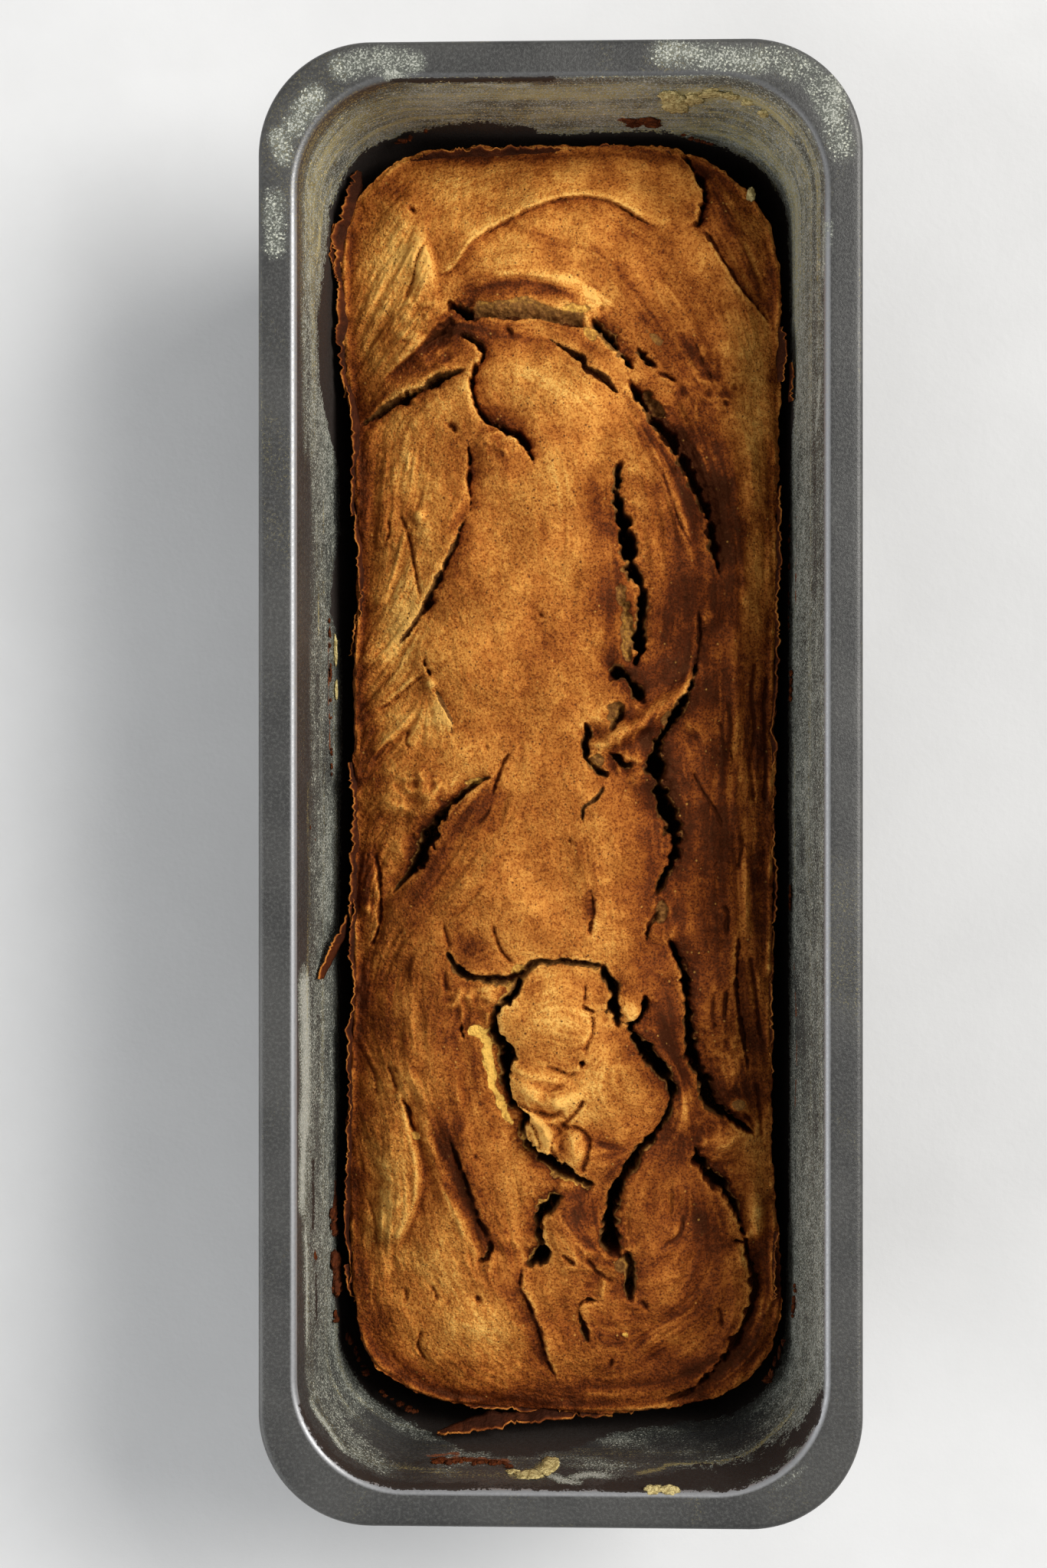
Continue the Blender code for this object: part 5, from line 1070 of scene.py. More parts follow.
def paint_tones(points, streak):
    """Cinnamon and painted shade at each place: nought is plain crust, below it is more golden, partly
    painted light.
    """
    tone_and_shade = np.zeros(len(points))
    wander = np.stack([layered_noise(points, 5, 2, 41), layered_noise(points, 5, 2, 45)], 1)
    shaken = points + 1.1 * wander
    for strokes, plain, streaky in ((SHADES, 1.0, 0.15), (TONES, 1.35, 0.8)):
        for amount, half, route in strokes:
            near, distance, _, _, travel, length = near_and_along(
                shaken, route, ROUTE_STEP, 3 * half)
            ends = fade_at_ends(-half, half, travel, length)
            spread = np.exp(-(distance / half) ** 2) * (0.3 + 0.7 * ends)
            tone_and_shade[near] += amount * spread * np.clip(plain + streaky * streak[near], 0.1, 3)
    return tone_and_shade


def blurred(values, reach):
    """A grid of values averaged over a square of cells, twice."""
    for axis in (0, 1, 0, 1):
        padding = [(0, 0), (0, 0)]
        padding[axis] = (reach + 1, reach)
        total = np.cumsum(np.pad(values, padding, mode="edge"), axis=axis)
        width = 2 * reach + 1
        if axis == 0:
            values = (total[width:] - total[:-width]) / width
        else:
            values = (total[:, width:] - total[:, :-width]) / width
    return values


def covered(points, places):
    """How far each point lies within any of some soft-edged ovals."""
    share = np.zeros(len(points))
    for centre_x, centre_y, half_x, half_y, turn in places:
        across, along = turned(points, centre_x, centre_y, turn)
        spread = np.sqrt((across / half_x) ** 2 + (along / half_y) ** 2)
        share = np.maximum(share, smooth_step(1.25, 0.65, spread))
    return share


def carved(points):
    """The loaf's top with its cracks, bared crumb and creases."""
    surface = Surface(points)
    for depth, lift_left, lift_right, crumb_left, crumb_right, route in CRACKS.values():
        surface.cut_crack(depth, (lift_left, lift_right), (crumb_left, crumb_right), route)
    for place in CRUMB_PATCHES:
        surface.bare_crumb(place)
    for crease in CREASES:
        surface.cut_crease(*crease)
    return surface


def wrinkle_field():
    """The flow that the wrinkles follow, drawn from the cracks, folds, flows and outline."""
    routes = [(1.0, [place[:2] for place in crack[-1]]) for crack in CRACKS.values()]
    routes += [(0.7, fold[-1]) for fold in FOLDS]
    routes += [(1.6, flow) for flow in FLOWS]
    routes += [(0.5, OUTLINE + OUTLINE[:1])]
    return FlowField(routes)


def loaf_surface():
    """The grid of the loaf's top, its heights and the layers that its material reads."""
    grid = loaf_grid()
    points = grid.reshape(-1, 2)
    field = wrinkle_field()
    fine = streaks(points, field, 0.42, 2.2, 51)
    middle = streaks(points, field, 0.95, 6.0, 52)
    broad = streaks(points, field, 2.2, 14.0, 53)
    long_fine = streaks(points, field, 0.62, 9.0, 50)
    surface = carved(points)
    edge = edge_distance(points)
    smooth_crust = 1 - surface.crumb
    wrinkled = covered(points, WRINKLED)
    brushed = covered(points, BRUSHED)
    crumpled = covered(points, CRUMPLED)
    patchy = np.clip(0.75 + 0.8 * smooth_noise(points, 7, 64), 0.1, 1.7)
    relief = (0.2 + 0.8 * wrinkled) * patchy * (0.07 * fine + 0.14 * middle + 0.22 * broad)
    relief += 0.05 * brushed * long_fine + crumpled * (
        0.55 * (1 - 2.2 * np.abs(smooth_noise(points, 3.6, 46)))
        + 0.30 * (1 - 2.2 * np.abs(smooth_noise(points, 1.9, 47))))
    relief += 0.18 * smooth_noise(points, 3.1, 49) + 0.11 * smooth_noise(points, 1.4, 54)
    relief += 0.12 * smooth_noise(points, 0.8, 55)
    grain = 0.28 * smooth_noise(points, 1.3, 56) + 0.24 * smooth_noise(points, 0.8, 57)
    height = dome_height(points) + swelling(points) + surface.lift
    uneven = 0.5 + 0.8 * smooth_noise(points, 9, 60) + 0.5 * smooth_noise(points, 2.4, 58)
    height += 1.2 * np.exp(-((edge - 0.7) / 0.8) ** 2) * np.clip(uneven, 0, 1.8)
    height += relief * smooth_crust
    # Painted shade in the hollows and painted light on the ridges: how far each place lies below the
    # blurred surface round it
    shallow = (height - np.minimum(surface.drop, 1.6)).reshape(grid.shape[:2])
    relief_shading = sum(np.clip((blurred(shallow, reach) - shallow) / size, -1, 1)
                 for reach, size in ((2, 0.4), (6, 1.0), (15, 2.0))).ravel()
    height = height - surface.drop + grain * surface.crumb
    height = np.maximum(height, DEEPEST_CRACK + 1.2 * smooth_noise(points, 2.2, 59))
    streak = patchy * (0.6 * fine + 0.7 * middle + 0.4 * broad)
    streak = (0.35 + 0.65 * wrinkled) * streak + 0.6 * brushed * patchy * (long_fine + 0.4 * broad)
    tone_and_shade = paint_tones(points, 0.3 * fine + 0.4 * middle + 0.4 * broad + 0.5 * long_fine)
    rim = np.exp(-((edge - 1.6) / 1.7) ** 2) - 0.7 * np.exp(-(edge / 0.6) ** 2)
    rim *= np.clip(0.7 + 0.7 * smooth_noise(points, 11, 62), 0.05, 1.5)
    # The strokes' cinnamon, painted shade and painted light, with the painted shade beside the cracks
    layers = {"tone_and_shade": tone_and_shade + 0.9 * surface.shade, "streak": streak, "relief_shading": relief_shading,
              "gap": surface.gap, "deep": surface.deep, "crumb": surface.crumb,
              "pale": surface.pale, "lip": surface.lip, "edge": rim}
    return grid, height, layers


def loaf_rings(outline, outline_height):
    """The loaf's sides: rings of points from its top edge down to its base, each with heights."""
    base = outline * np.array(LOAF_BASE_SCALE)
    outward = outward_of(outline)
    rings = []
    for level in range(1, LOAF_SIDE_LEVELS + 1):
        share = 1 - level / LOAF_SIDE_LEVELS
        ring = base + (outline - base) * share
        ways = np.stack([np.arange(len(ring)) * 0.4, np.full(len(ring), 40.0 * share)], 1)
        rough = 0.28 * layered_noise(ways, 3.0, 3, 61)
        rounding = LOAF_BASE_ROUNDING * max(0.0, 1 - share * LOAF_SIDE_LEVELS / 2.5) ** 2
        ring = ring - outward * (rounding + rough + 0.1)[:, None]
        height = LOAF_BASE_Z + (outline_height - LOAF_BASE_Z) * share
        rings.append(np.column_stack([ring, height]))
    return rings


def make_object(name, vertices, faces, material, layers=None, smooth=True):
    """A mesh object from millimetre vertices and faces, with float layers for its material."""
    data = bpy.data.meshes.new(name)
    data.from_pydata((np.asarray(vertices) * MM).tolist(), [], faces)
    data.materials.append(material)
    for layer, values in (layers or {}).items():
        values = np.asarray(values, dtype=np.float32)
        kind, field = ("FLOAT", "value") if values.ndim == 1 else ("FLOAT_VECTOR", "vector")
        data.attributes.new(layer, kind, "POINT").data.foreach_set(field, values.ravel())
    if smooth:
        data.shade_smooth()
    data.validate()
    item = bpy.data.objects.new(name, data)
    bpy.context.scene.collection.objects.link(item)
    return item


def band_faces(lower, upper):
    """Four-sided faces between two closed rings, each given by the indices of its points."""
    return np.stack([lower, np.roll(lower, -1), np.roll(upper, -1), upper], 1).tolist()


def patch_triangles(index, height):
    """Two triangles for each cell of a grid, split along its flatter diagonal."""
    a, b = index[:-1, :-1], index[:-1, 1:]
    c, d = index[1:, 1:], index[1:, :-1]
    flatter = np.abs(height[a] - height[c]) <= np.abs(height[b] - height[d])
    first = np.where(flatter[..., None], np.stack([a, b, c], -1), np.stack([a, b, d], -1))
    second = np.where(flatter[..., None], np.stack([a, c, d], -1), np.stack([b, c, d], -1))
    return np.concatenate([first.reshape(-1, 3), second.reshape(-1, 3)]).tolist()


def build_loaf(material):
    """The loaf: its carved top, its sides and its base in one mesh."""
    grid, height, layers = loaf_surface()
    rows, columns = grid.shape[:2]
    index = np.arange(rows * columns).reshape(rows, columns)
    rim = np.concatenate([index[0, :-1], index[:-1, -1], index[-1, :0:-1], index[:0:-1, 0]])
    top = np.column_stack([grid.reshape(-1, 2), height])
    rings = loaf_rings(top[rim, :2], height[rim])
    faces = patch_triangles(index, height)
    vertices = [top] + rings
    upper = rim
    for level in range(len(rings)):
        lower = rows * columns + level * len(rim) + np.arange(len(rim))
        faces += band_faces(lower, upper)
        upper = lower
    faces.append(upper[::-1].tolist())
    for name, values in layers.items():
        on_sides = {"tone_and_shade": 0.5, "edge": 0.8}.get(name, 0.0)
        layers[name] = np.concatenate([values, np.full(len(rings) * len(rim), on_sides)])
    piece = make_object("loaf_crust", np.concatenate(vertices), faces, material, layers)
    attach(piece, "root")
    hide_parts("loaf")


# Materials

class Nodes:
    """A material's node tree, with short ways to add and link its nodes."""

    def __init__(self, name):
        self.material = bpy.data.materials.new(name)
        self.material.use_nodes = True
        self.tree = self.material.node_tree
        self.shader = self.tree.nodes["Principled BSDF"]

    def add(self, kind, inputs=None, **settings):
        node = self.tree.nodes.new(kind)
        for key, value in settings.items():
            setattr(node, key, value)
        for key, value in (inputs or {}).items():
            self.feed(node.inputs[key], value)
        return node

    def feed(self, socket, value):
        if isinstance(value, bpy.types.NodeSocket):
            self.tree.links.new(value, socket)
        else:
            socket.default_value = (*value, 1.0) if isinstance(value, tuple) else value

    def layer(self, name):
        return self.add("ShaderNodeAttribute", attribute_name=name).outputs["Fac"]

    def place(self):
        return self.add("ShaderNodeTexCoord").outputs["Object"]

    def noise(self, size, detail=3.0, rough=0.55, where=None):
        """Noise between 0 and 1 whose lumps are about size millimetres."""
        inputs = {"Vector": where or self.place(), "Scale": 1 / (size * MM), "Detail": detail,
                  "Roughness": rough}
        return self.add("ShaderNodeTexNoise", inputs).outputs["Fac"]

    def cells(self, size):
        """The distance to the middle of the nearest of some cells, about size millimetres wide."""
        inputs = {"Vector": self.place(), "Scale": 1 / (size * MM)}
        return self.add("ShaderNodeTexVoronoi", inputs).outputs["Distance"]

    def math(self, operation, first, second=0.5, clamp=False):
        node = self.add("ShaderNodeMath", operation=operation, use_clamp=clamp)
        self.feed(node.inputs[0], first)
        self.feed(node.inputs[1], second)
        return node.outputs["Value"]

    def spread(self, value, low, high, to_low=0.0, to_high=1.0):
        """The value mapped from one range to another, smoothly and clamped."""
        inputs = {"Value": value, "From Min": low, "From Max": high, "To Min": to_low,
                  "To Max": to_high}
        return self.add("ShaderNodeMapRange", inputs,
                        interpolation_type="SMOOTHSTEP").outputs["Result"]

    def shaken(self, value, noise, amount, low=0.3, high=0.7):
        """The value with the noise added, by an amount either way."""
        return self.math("ADD", value, self.spread(noise, low, high, -amount, amount))

    def mix(self, share, first, second):
        node = self.add("ShaderNodeMix", data_type="RGBA")
        self.feed(node.inputs["Factor"], share)
        self.feed(node.inputs[6], first)
        self.feed(node.inputs[7], second)
        return node.outputs[2]

    def ramp(self, value, stops):
        node = self.add("ShaderNodeValToRGB", {"Fac": value})
        band = node.color_ramp
        while len(band.elements) < len(stops):
            band.elements.new(0.5)
        for element, (place, colour) in zip(band.elements, stops):
            element.position = place
            element.color = (*colour, 1.0)
        return node.outputs["Color"]

    def bump(self, height, size, strength=1.0):
        """A bump whose full range stands for size millimetres."""
        inputs = {"Height": height, "Distance": size * MM, "Strength": strength}
        return self.add("ShaderNodeBump", inputs).outputs["Normal"]

    def finish(self, colour, roughness, normal):
        self.feed(self.shader.inputs["Base Color"], colour)
        self.feed(self.shader.inputs["Roughness"], roughness)
        self.feed(self.shader.inputs["Normal"], normal)
        return self.material


PALE_GOLD = (0.82, 0.44, 0.105)
GOLDEN = (0.64, 0.272, 0.052)
TAN = (0.445, 0.150, 0.025)
BROWN = (0.270, 0.072, 0.0105)
RED_BROWN = (0.150, 0.031, 0.0055)
CHOCOLATE = (0.070, 0.0125, 0.0032)
BURNT = (0.034, 0.0062, 0.002)
CINNAMON_SPECK = (0.080, 0.022, 0.008)
GOLD_SPECK = (0.66, 0.34, 0.07)
# Painted shade inside the cracks and creases, and in their darkest cores
SHALLOW_GAP_SHADE = (0.068, 0.015, 0.004)
DEEP_GAP_SHADE = (0.012, 0.003, 0.001)

# Colours of the tin, and of what is on it
COATED_STEEL = (0.050, 0.049, 0.047)
RUBBED_STEEL = (0.072, 0.070, 0.066)
WORN_STEEL = (0.13, 0.13, 0.12)
# Painted highlight on the rounded lip
BEND_HIGHLIGHT = (0.26, 0.26, 0.265)
DUST_FILM = (0.082, 0.092, 0.064)
POWDER = (0.25, 0.255, 0.22)
FLOUR_GRAIN = (0.46, 0.46, 0.40)
PALE_FLECK = (0.52, 0.52, 0.42)
YELLOW_FLECK = (0.72, 0.58, 0.26)
OIL = (0.42, 0.355, 0.150)
RESIDUE = (0.016, 0.010, 0.007)
DARK_STAIN = (0.075, 0.022, 0.010)
LIGHT_STAIN = (0.24, 0.075, 0.022)
DARK_DOUGH = (0.30, 0.22, 0.07)
PALE_DOUGH = (0.60, 0.48, 0.20)


def crust_material():
    """Baked crust: golden where it is thin, red-brown and chocolate where cinnamon swirls and where
    shade is painted.
    """
    nodes = Nodes("baked_crust")
    blotch = nodes.noise(9.0, 4.0, 0.6)
    patch = nodes.noise(2.2, 4.0, 0.65)
    speck = nodes.noise(0.5, 2.0, 0.7)
    value = nodes.math("MULTIPLY_ADD", nodes.layer("tone_and_shade"), 0.26)
    nodes.feed(value.node.inputs[2], 0.435)
    value = nodes.shaken(value, blotch, 0.13)
    value = nodes.shaken(value, patch, 0.02)
    value = nodes.math("ADD", value, nodes.spread(speck, 0.42, 0.74, -0.07, 0.34))
    # Painted shade in the hollows, painted light on the ridges and a painted highlight on the lips;
    # streaks and edge are the crust's own colour
    for layer, share in (("streak", 0.075), ("relief_shading", 0.15), ("edge", 0.26), ("lip", -0.13)):
        value = nodes.math("ADD", value, nodes.math("MULTIPLY", nodes.layer(layer), share))
    value = nodes.math("MULTIPLY", value, 0.8)
    colour = nodes.ramp(value, ((0.0, PALE_GOLD), (0.17, GOLDEN), (0.335, TAN), (0.50, BROWN),
                                (0.66, RED_BROWN), (0.80, CHOCOLATE), (1.0, BURNT)))
    for size, threshold, cover in ((1.5, 0.13, 0.40), (0.9, 0.16, 0.46)):
        dark = nodes.spread(nodes.cells(size), threshold, threshold + 0.07, 0.85, 0.0)
        dark = nodes.math("MULTIPLY", dark, nodes.spread(nodes.noise(1.7 * size, 2.0), cover, 0.6))
        colour = nodes.mix(dark, colour, CINNAMON_SPECK)
    gold = nodes.spread(nodes.cells(2.0), 0.08, 0.16, 0.5, 0.0)
    gold = nodes.math("MULTIPLY", gold, nodes.spread(nodes.noise(5.0, 2.0), 0.48, 0.62))
    colour = nodes.mix(gold, colour, GOLD_SPECK)
    crumb_tone = nodes.math("MULTIPLY_ADD", nodes.layer("pale"), 0.62)
    nodes.feed(crumb_tone.node.inputs[2], nodes.spread(nodes.noise(0.8, 3.0), 0.3, 0.7, 0.06, 0.38))
    crumb_colour = nodes.ramp(crumb_tone, (
        (0.15, (0.085, 0.030, 0.008)), (0.45, (0.22, 0.095, 0.024)),
        (0.72, (0.46, 0.225, 0.040)), (0.98, (0.88, 0.51, 0.10))))
    ragged_crumb = nodes.shaken(nodes.layer("crumb"), speck, 0.3)
    colour = nodes.mix(nodes.spread(ragged_crumb, 0.42, 0.62), colour, crumb_colour)
    # Painted shade inside the cracks and creases, darkest in their cores
    gap = nodes.spread(nodes.shaken(nodes.layer("gap"), speck, 0.34), 0.44, 0.64)
    colour = nodes.mix(gap, colour, nodes.mix(nodes.layer("deep"), SHALLOW_GAP_SHADE, DEEP_GAP_SHADE))
    height = nodes.math("ADD", nodes.noise(0.7, 4.0, 0.7),
                        nodes.math("MULTIPLY", nodes.cells(0.6), -0.3))
    calm = nodes.spread(nodes.noise(14.0, 3.0), 0.35, 0.65, 0.5, 1.0)
    normal = nodes.bump(height, 0.85, calm)
    roughness = nodes.spread(nodes.noise(1.2, 3.0), 0.3, 0.7, 0.36, 0.58)
    roughness = nodes.math("MAXIMUM", roughness, gap)
    nodes.shader.inputs["Specular IOR Level"].default_value = 0.27
    nodes.shader.inputs["Specular Tint"].default_value = (1.0, 0.48, 0.18, 1.0)
    return nodes.finish(colour, roughness, normal)


def torn_material():
    """Thin torn crust: amber along its broken edge, darker on its baked face."""
    nodes = Nodes("torn_edge_crust")
    blotch = nodes.noise(1.6, 4.0, 0.6)
    colour = nodes.ramp(nodes.math("ADD", nodes.math("MULTIPLY", blotch, 0.5),
                                   nodes.math("MULTIPLY", nodes.layer("baked"), 0.5)),
                        ((0.14, (0.50, 0.18, 0.034)), (0.34, (0.20, 0.050, 0.011)),
                         (0.56, (0.075, 0.017, 0.006)), (0.80, (0.030, 0.008, 0.0045))))
    normal = nodes.bump(nodes.noise(0.8, 4.0, 0.65), 0.6, 1.0)
    nodes.shader.inputs["Specular IOR Level"].default_value = 0.16
    nodes.shader.inputs["Specular Tint"].default_value = (1.0, 0.62, 0.30, 1.0)
    return nodes.finish(colour, nodes.spread(blotch, 0.3, 0.7, 0.5, 0.75), normal)


def dough_material():
    """Pale dried dough and flour smeared on the tin."""
    nodes = Nodes("dried_dough")
    colour = nodes.mix(nodes.spread(nodes.noise(0.8, 3.0), 0.4, 0.6), DARK_DOUGH, PALE_DOUGH)
    return nodes.finish(colour, 0.7, nodes.bump(nodes.noise(0.5, 4.0, 0.6), 0.5, 1.0))


# Tin

def tin_wall(height, out=0.0):
    """Half width, half length and corner radius of the drafted wall, moved out by a distance."""
    share = (height - STEEL) / (TIN_HEIGHT - STEEL)
    return (FLOOR_HALF[0] + (LIP_HALF[0] - FLOOR_HALF[0]) * share + out,
            FLOOR_HALF[1] + (LIP_HALF[1] - FLOOR_HALF[1]) * share + out,
            FLOOR_RADIUS + (LIP_RADIUS - FLOOR_RADIUS) * share + out)


def arc_rings(centre, radius, start, end, steps):
    """Points of an arc in the profile's plane, as (out, height) pairs."""
    angles = np.radians(np.linspace(start, end, steps + 1))
    return [(centre[0] + radius * math.cos(a), centre[1] + radius * math.sin(a)) for a in angles]


def grown(plan, out, height):
    """A ring of the tin: a plan's half width, half length and radius moved out, and a height."""
    return (plan[0] + out, plan[1] + out, plan[2] + out, height)


def shrunk(plan, share, height):
    """A ring of the tin that is a share of a plan's size."""
    return (plan[0] * share, plan[1] * share, plan[2] * share, height)


def tin_profile():
    """Rings of the tin as (half width, half length, radius, height), from under the base up the
    outside, round the rim and down the inside to the floor."""
    rings = []
    foot = tin_wall(STEEL + FLOOR_FILLET, STEEL)
    for share in (0.0, 0.35, 0.7):
        rings.append(shrunk(foot, share, 0.0))
    for out, height in arc_rings((-FLOOR_FILLET, FLOOR_FILLET), FLOOR_FILLET, -90, 0, 5):
        rings.append(grown(foot, out, height))
    for height in np.linspace(STEEL + FLOOR_FILLET, TIN_HEIGHT - STEEL - LIP_BEND, 20)[1:]:
        rings.append((*tin_wall(height, STEEL), height))
    top = tin_wall(TIN_HEIGHT - STEEL - LIP_BEND, STEEL)
    for out, drop in arc_rings((LIP_BEND, -LIP_BEND), LIP_BEND, 180, 90, 4)[1:]:
        rings.append(grown(top, out, TIN_HEIGHT - STEEL + drop))
    rim = (RIM_HALF_WIDTH, RIM_HALF_LENGTH, RIM_RADIUS)
    under = TIN_HEIGHT - STEEL
    for inset in (6.0, 4.0, 2.4):
        rings.append(grown(rim, -inset, under))
    rings.append(grown(rim, -STEEL, under - 0.7))
    bottom = TIN_HEIGHT - RIM_TURN_DOWN
    rings.append(grown(rim, -STEEL, bottom + 0.2))
    rings.append(grown(rim, -STEEL * 0.5, bottom))
    rings.append(grown(rim, 0.0, bottom + 0.25))
    outer_arc = arc_rings((-RIM_ROUNDING, TIN_HEIGHT - RIM_ROUNDING), RIM_ROUNDING, 0, 90, 5)
    for out, height in outer_arc:
        rings.append(grown(rim, out, height))
    inner = tin_wall(TIN_HEIGHT - LIP_BEND, 0.0)
    lip = grown(inner, LIP_BEND, TIN_HEIGHT)
    edge = grown(rim, -RIM_ROUNDING, TIN_HEIGHT)
    for share in (0.2, 0.4, 0.6, 0.8):
        rings.append(tuple(e + (f - e) * share for e, f in zip(edge, lip)))
    for out, drop in arc_rings((LIP_BEND, -LIP_BEND), LIP_BEND, 90, 180, 5):
        rings.append(grown(inner, out, TIN_HEIGHT + drop))
    for height in np.linspace(TIN_HEIGHT - LIP_BEND, STEEL + FLOOR_FILLET, 62)[1:]:
        rings.append((*tin_wall(height), height))
    low = tin_wall(STEEL + FLOOR_FILLET)
    for out, drop in arc_rings((-FLOOR_FILLET, FLOOR_FILLET), FLOOR_FILLET, 0, -90, 5)[1:]:
        rings.append(grown(low, out, STEEL + drop))
    for share in (0.7, 0.35, 0.0):
        rings.append(shrunk(grown(low, -FLOOR_FILLET, STEEL), share, STEEL))
    return rings


SIDE_STEPS = 190
END_STEPS = 62
CORNER_STEPS = 30
RING_POINTS = 2 * (SIDE_STEPS + END_STEPS) + 4 * CORNER_STEPS
WOUND_RADIUS = 3.0


def rounded_ring(half_width, half_length, radius):
    """A rounded rectangle with the same count of points whatever its size, anticlockwise."""
    radius = min(radius, half_width, half_length)
    straight_x, straight_y = half_width - radius, half_length - radius
    points = []
    for quarter, (side_x, side_y) in enumerate(((1, 1), (-1, 1), (-1, -1), (1, -1))):
        if quarter % 2:
            points += [(side_x * straight_x * along, side_y * half_length)
                       for along in np.linspace(-1, 1, END_STEPS, endpoint=False)]
        else:
            points += [(side_x * half_width, side_y * straight_y * along)
                       for along in np.linspace(-1, 1, SIDE_STEPS, endpoint=False)]
        for step in range(CORNER_STEPS):
            angle = math.radians(90 * (quarter + step / CORNER_STEPS))
            points.append((side_x * straight_x + radius * math.cos(angle),
                           side_y * straight_y + radius * math.sin(angle)))
    return np.array(points)


def turn_of(x, y):
    """A place's way round the tin, as an angle."""
    return np.arctan2(y / TIN_PROPORTION, x)


def tin_layers(vertices):
    """Dust, grease and burnt residue on the tin, painted along strokes and by height, and a painted
    highlight on the lip.
    """
    x, y, z = vertices[:, 0], vertices[:, 1], vertices[:, 2]
    inside = np.zeros(len(vertices))
    inside[tin_inside_from():] = 1.0
    turn = turn_of(x, y)
    unrolled = np.stack([turn * UNROLLED_RADIUS, z], 1)
    long_streaks = layered_noise(unrolled * np.array([0.07, 1.0]), 4.0, 3, 71)
    clouds = layered_noise(unrolled, 15, 3, 74)
    # Lighter towards the far end, darker towards the near end, on the left wall and near the top of its
    # left half
    dust = 0.40 - 0.06 * smooth_step(-30, -46, x) + 0.14 * clouds + 0.055 * long_streaks
    dust += 0.14 * smooth_step(60, 140, y)
    dust -= 0.12 * smooth_step(-136, -145, y) + 0.2 * smooth_step(62, 67, z) * smooth_step(30, 0, x)
    dust *= inside
    yellow = inside * np.clip(0.36 * smooth_step(60, 140, y) + 0.22 * long_streaks, 0, 1)
    tide_place = np.array(TIDE_LINE, dtype=float)
    turns = turn_of(tide_place[:, 0], tide_place[:, 1])
    order = np.argsort(turns)
    tide = np.interp(turn, turns[order], tide_place[order, 2], period=2 * math.pi)
    residue = inside * np.clip(0.5 + (tide - z) / 5.0, 0, 1)
    layers = {"dust": dust, "yellow": yellow, "residue": residue, "stain": 0 * x}
    seen_from_above = np.zeros(len(vertices))
    seen_from_above[tin_top_from():] = 1.0
    for kind, strokes in TIN_STROKES.items():
        for amount, reach, route in strokes:
            route = smooth_route(route, 2.0)
            distance = distance_to_line(vertices, route, route[1:], math.inf)
            spread = np.exp(-(distance / reach) ** 2) * seen_from_above
            if amount < 0:
                layers[kind] *= 1 + amount * spread
            else:
                layers[kind] = np.maximum(layers[kind], amount * spread)
    layers["residue"] *= inside
    # Painted highlight along the rounded inner lip, fading towards the far end
    bend_highlight = np.zeros(len(vertices))
    bend_highlight[tin_inside_from() - 2 * RING_POINTS:tin_inside_from() + 2 * RING_POINTS] = 1.0
    layers["bend_highlight"] = bend_highlight * (1 - 0.75 * smooth_step(112, 140, y))
    wound = [WOUND_RADIUS * np.cos(turn), WOUND_RADIUS * np.sin(turn), z]
    layers["wound"] = np.stack(wound, 1) * MM
    return layers


def tin_top_from():
    """The index of the first vertex of the rim's edge, where the side seen from above begins."""
    first = next(k for k, ring in enumerate(tin_profile()) if ring[0] >= RIM_HALF_WIDTH)
    return first * RING_POINTS


def tin_inside_from():
    """The index of the first vertex of the inner wall."""
    last_top = max(k for k, ring in enumerate(tin_profile()) if ring[3] > TIN_HEIGHT - 0.6)
    return (last_top + 1) * RING_POINTS


def build_tin(material):
    """The tin as one closed skin of rings."""
    rings = tin_profile()
    vertices = []
    for half_width, half_length, radius, height in rings:
        ring = rounded_ring(half_width, half_length, max(radius, 0.0))
        vertices.append(np.column_stack([ring, np.full(len(ring), height)]))
    points = np.concatenate(vertices)
    faces = []
    for level in range(len(rings) - 1):
        lower = level * RING_POINTS + np.arange(RING_POINTS)
        faces += band_faces(lower, lower + RING_POINTS)
    piece = make_object("tin_shell", points, faces, material, tin_layers(points))
    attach(piece, "root")
    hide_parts("tin")


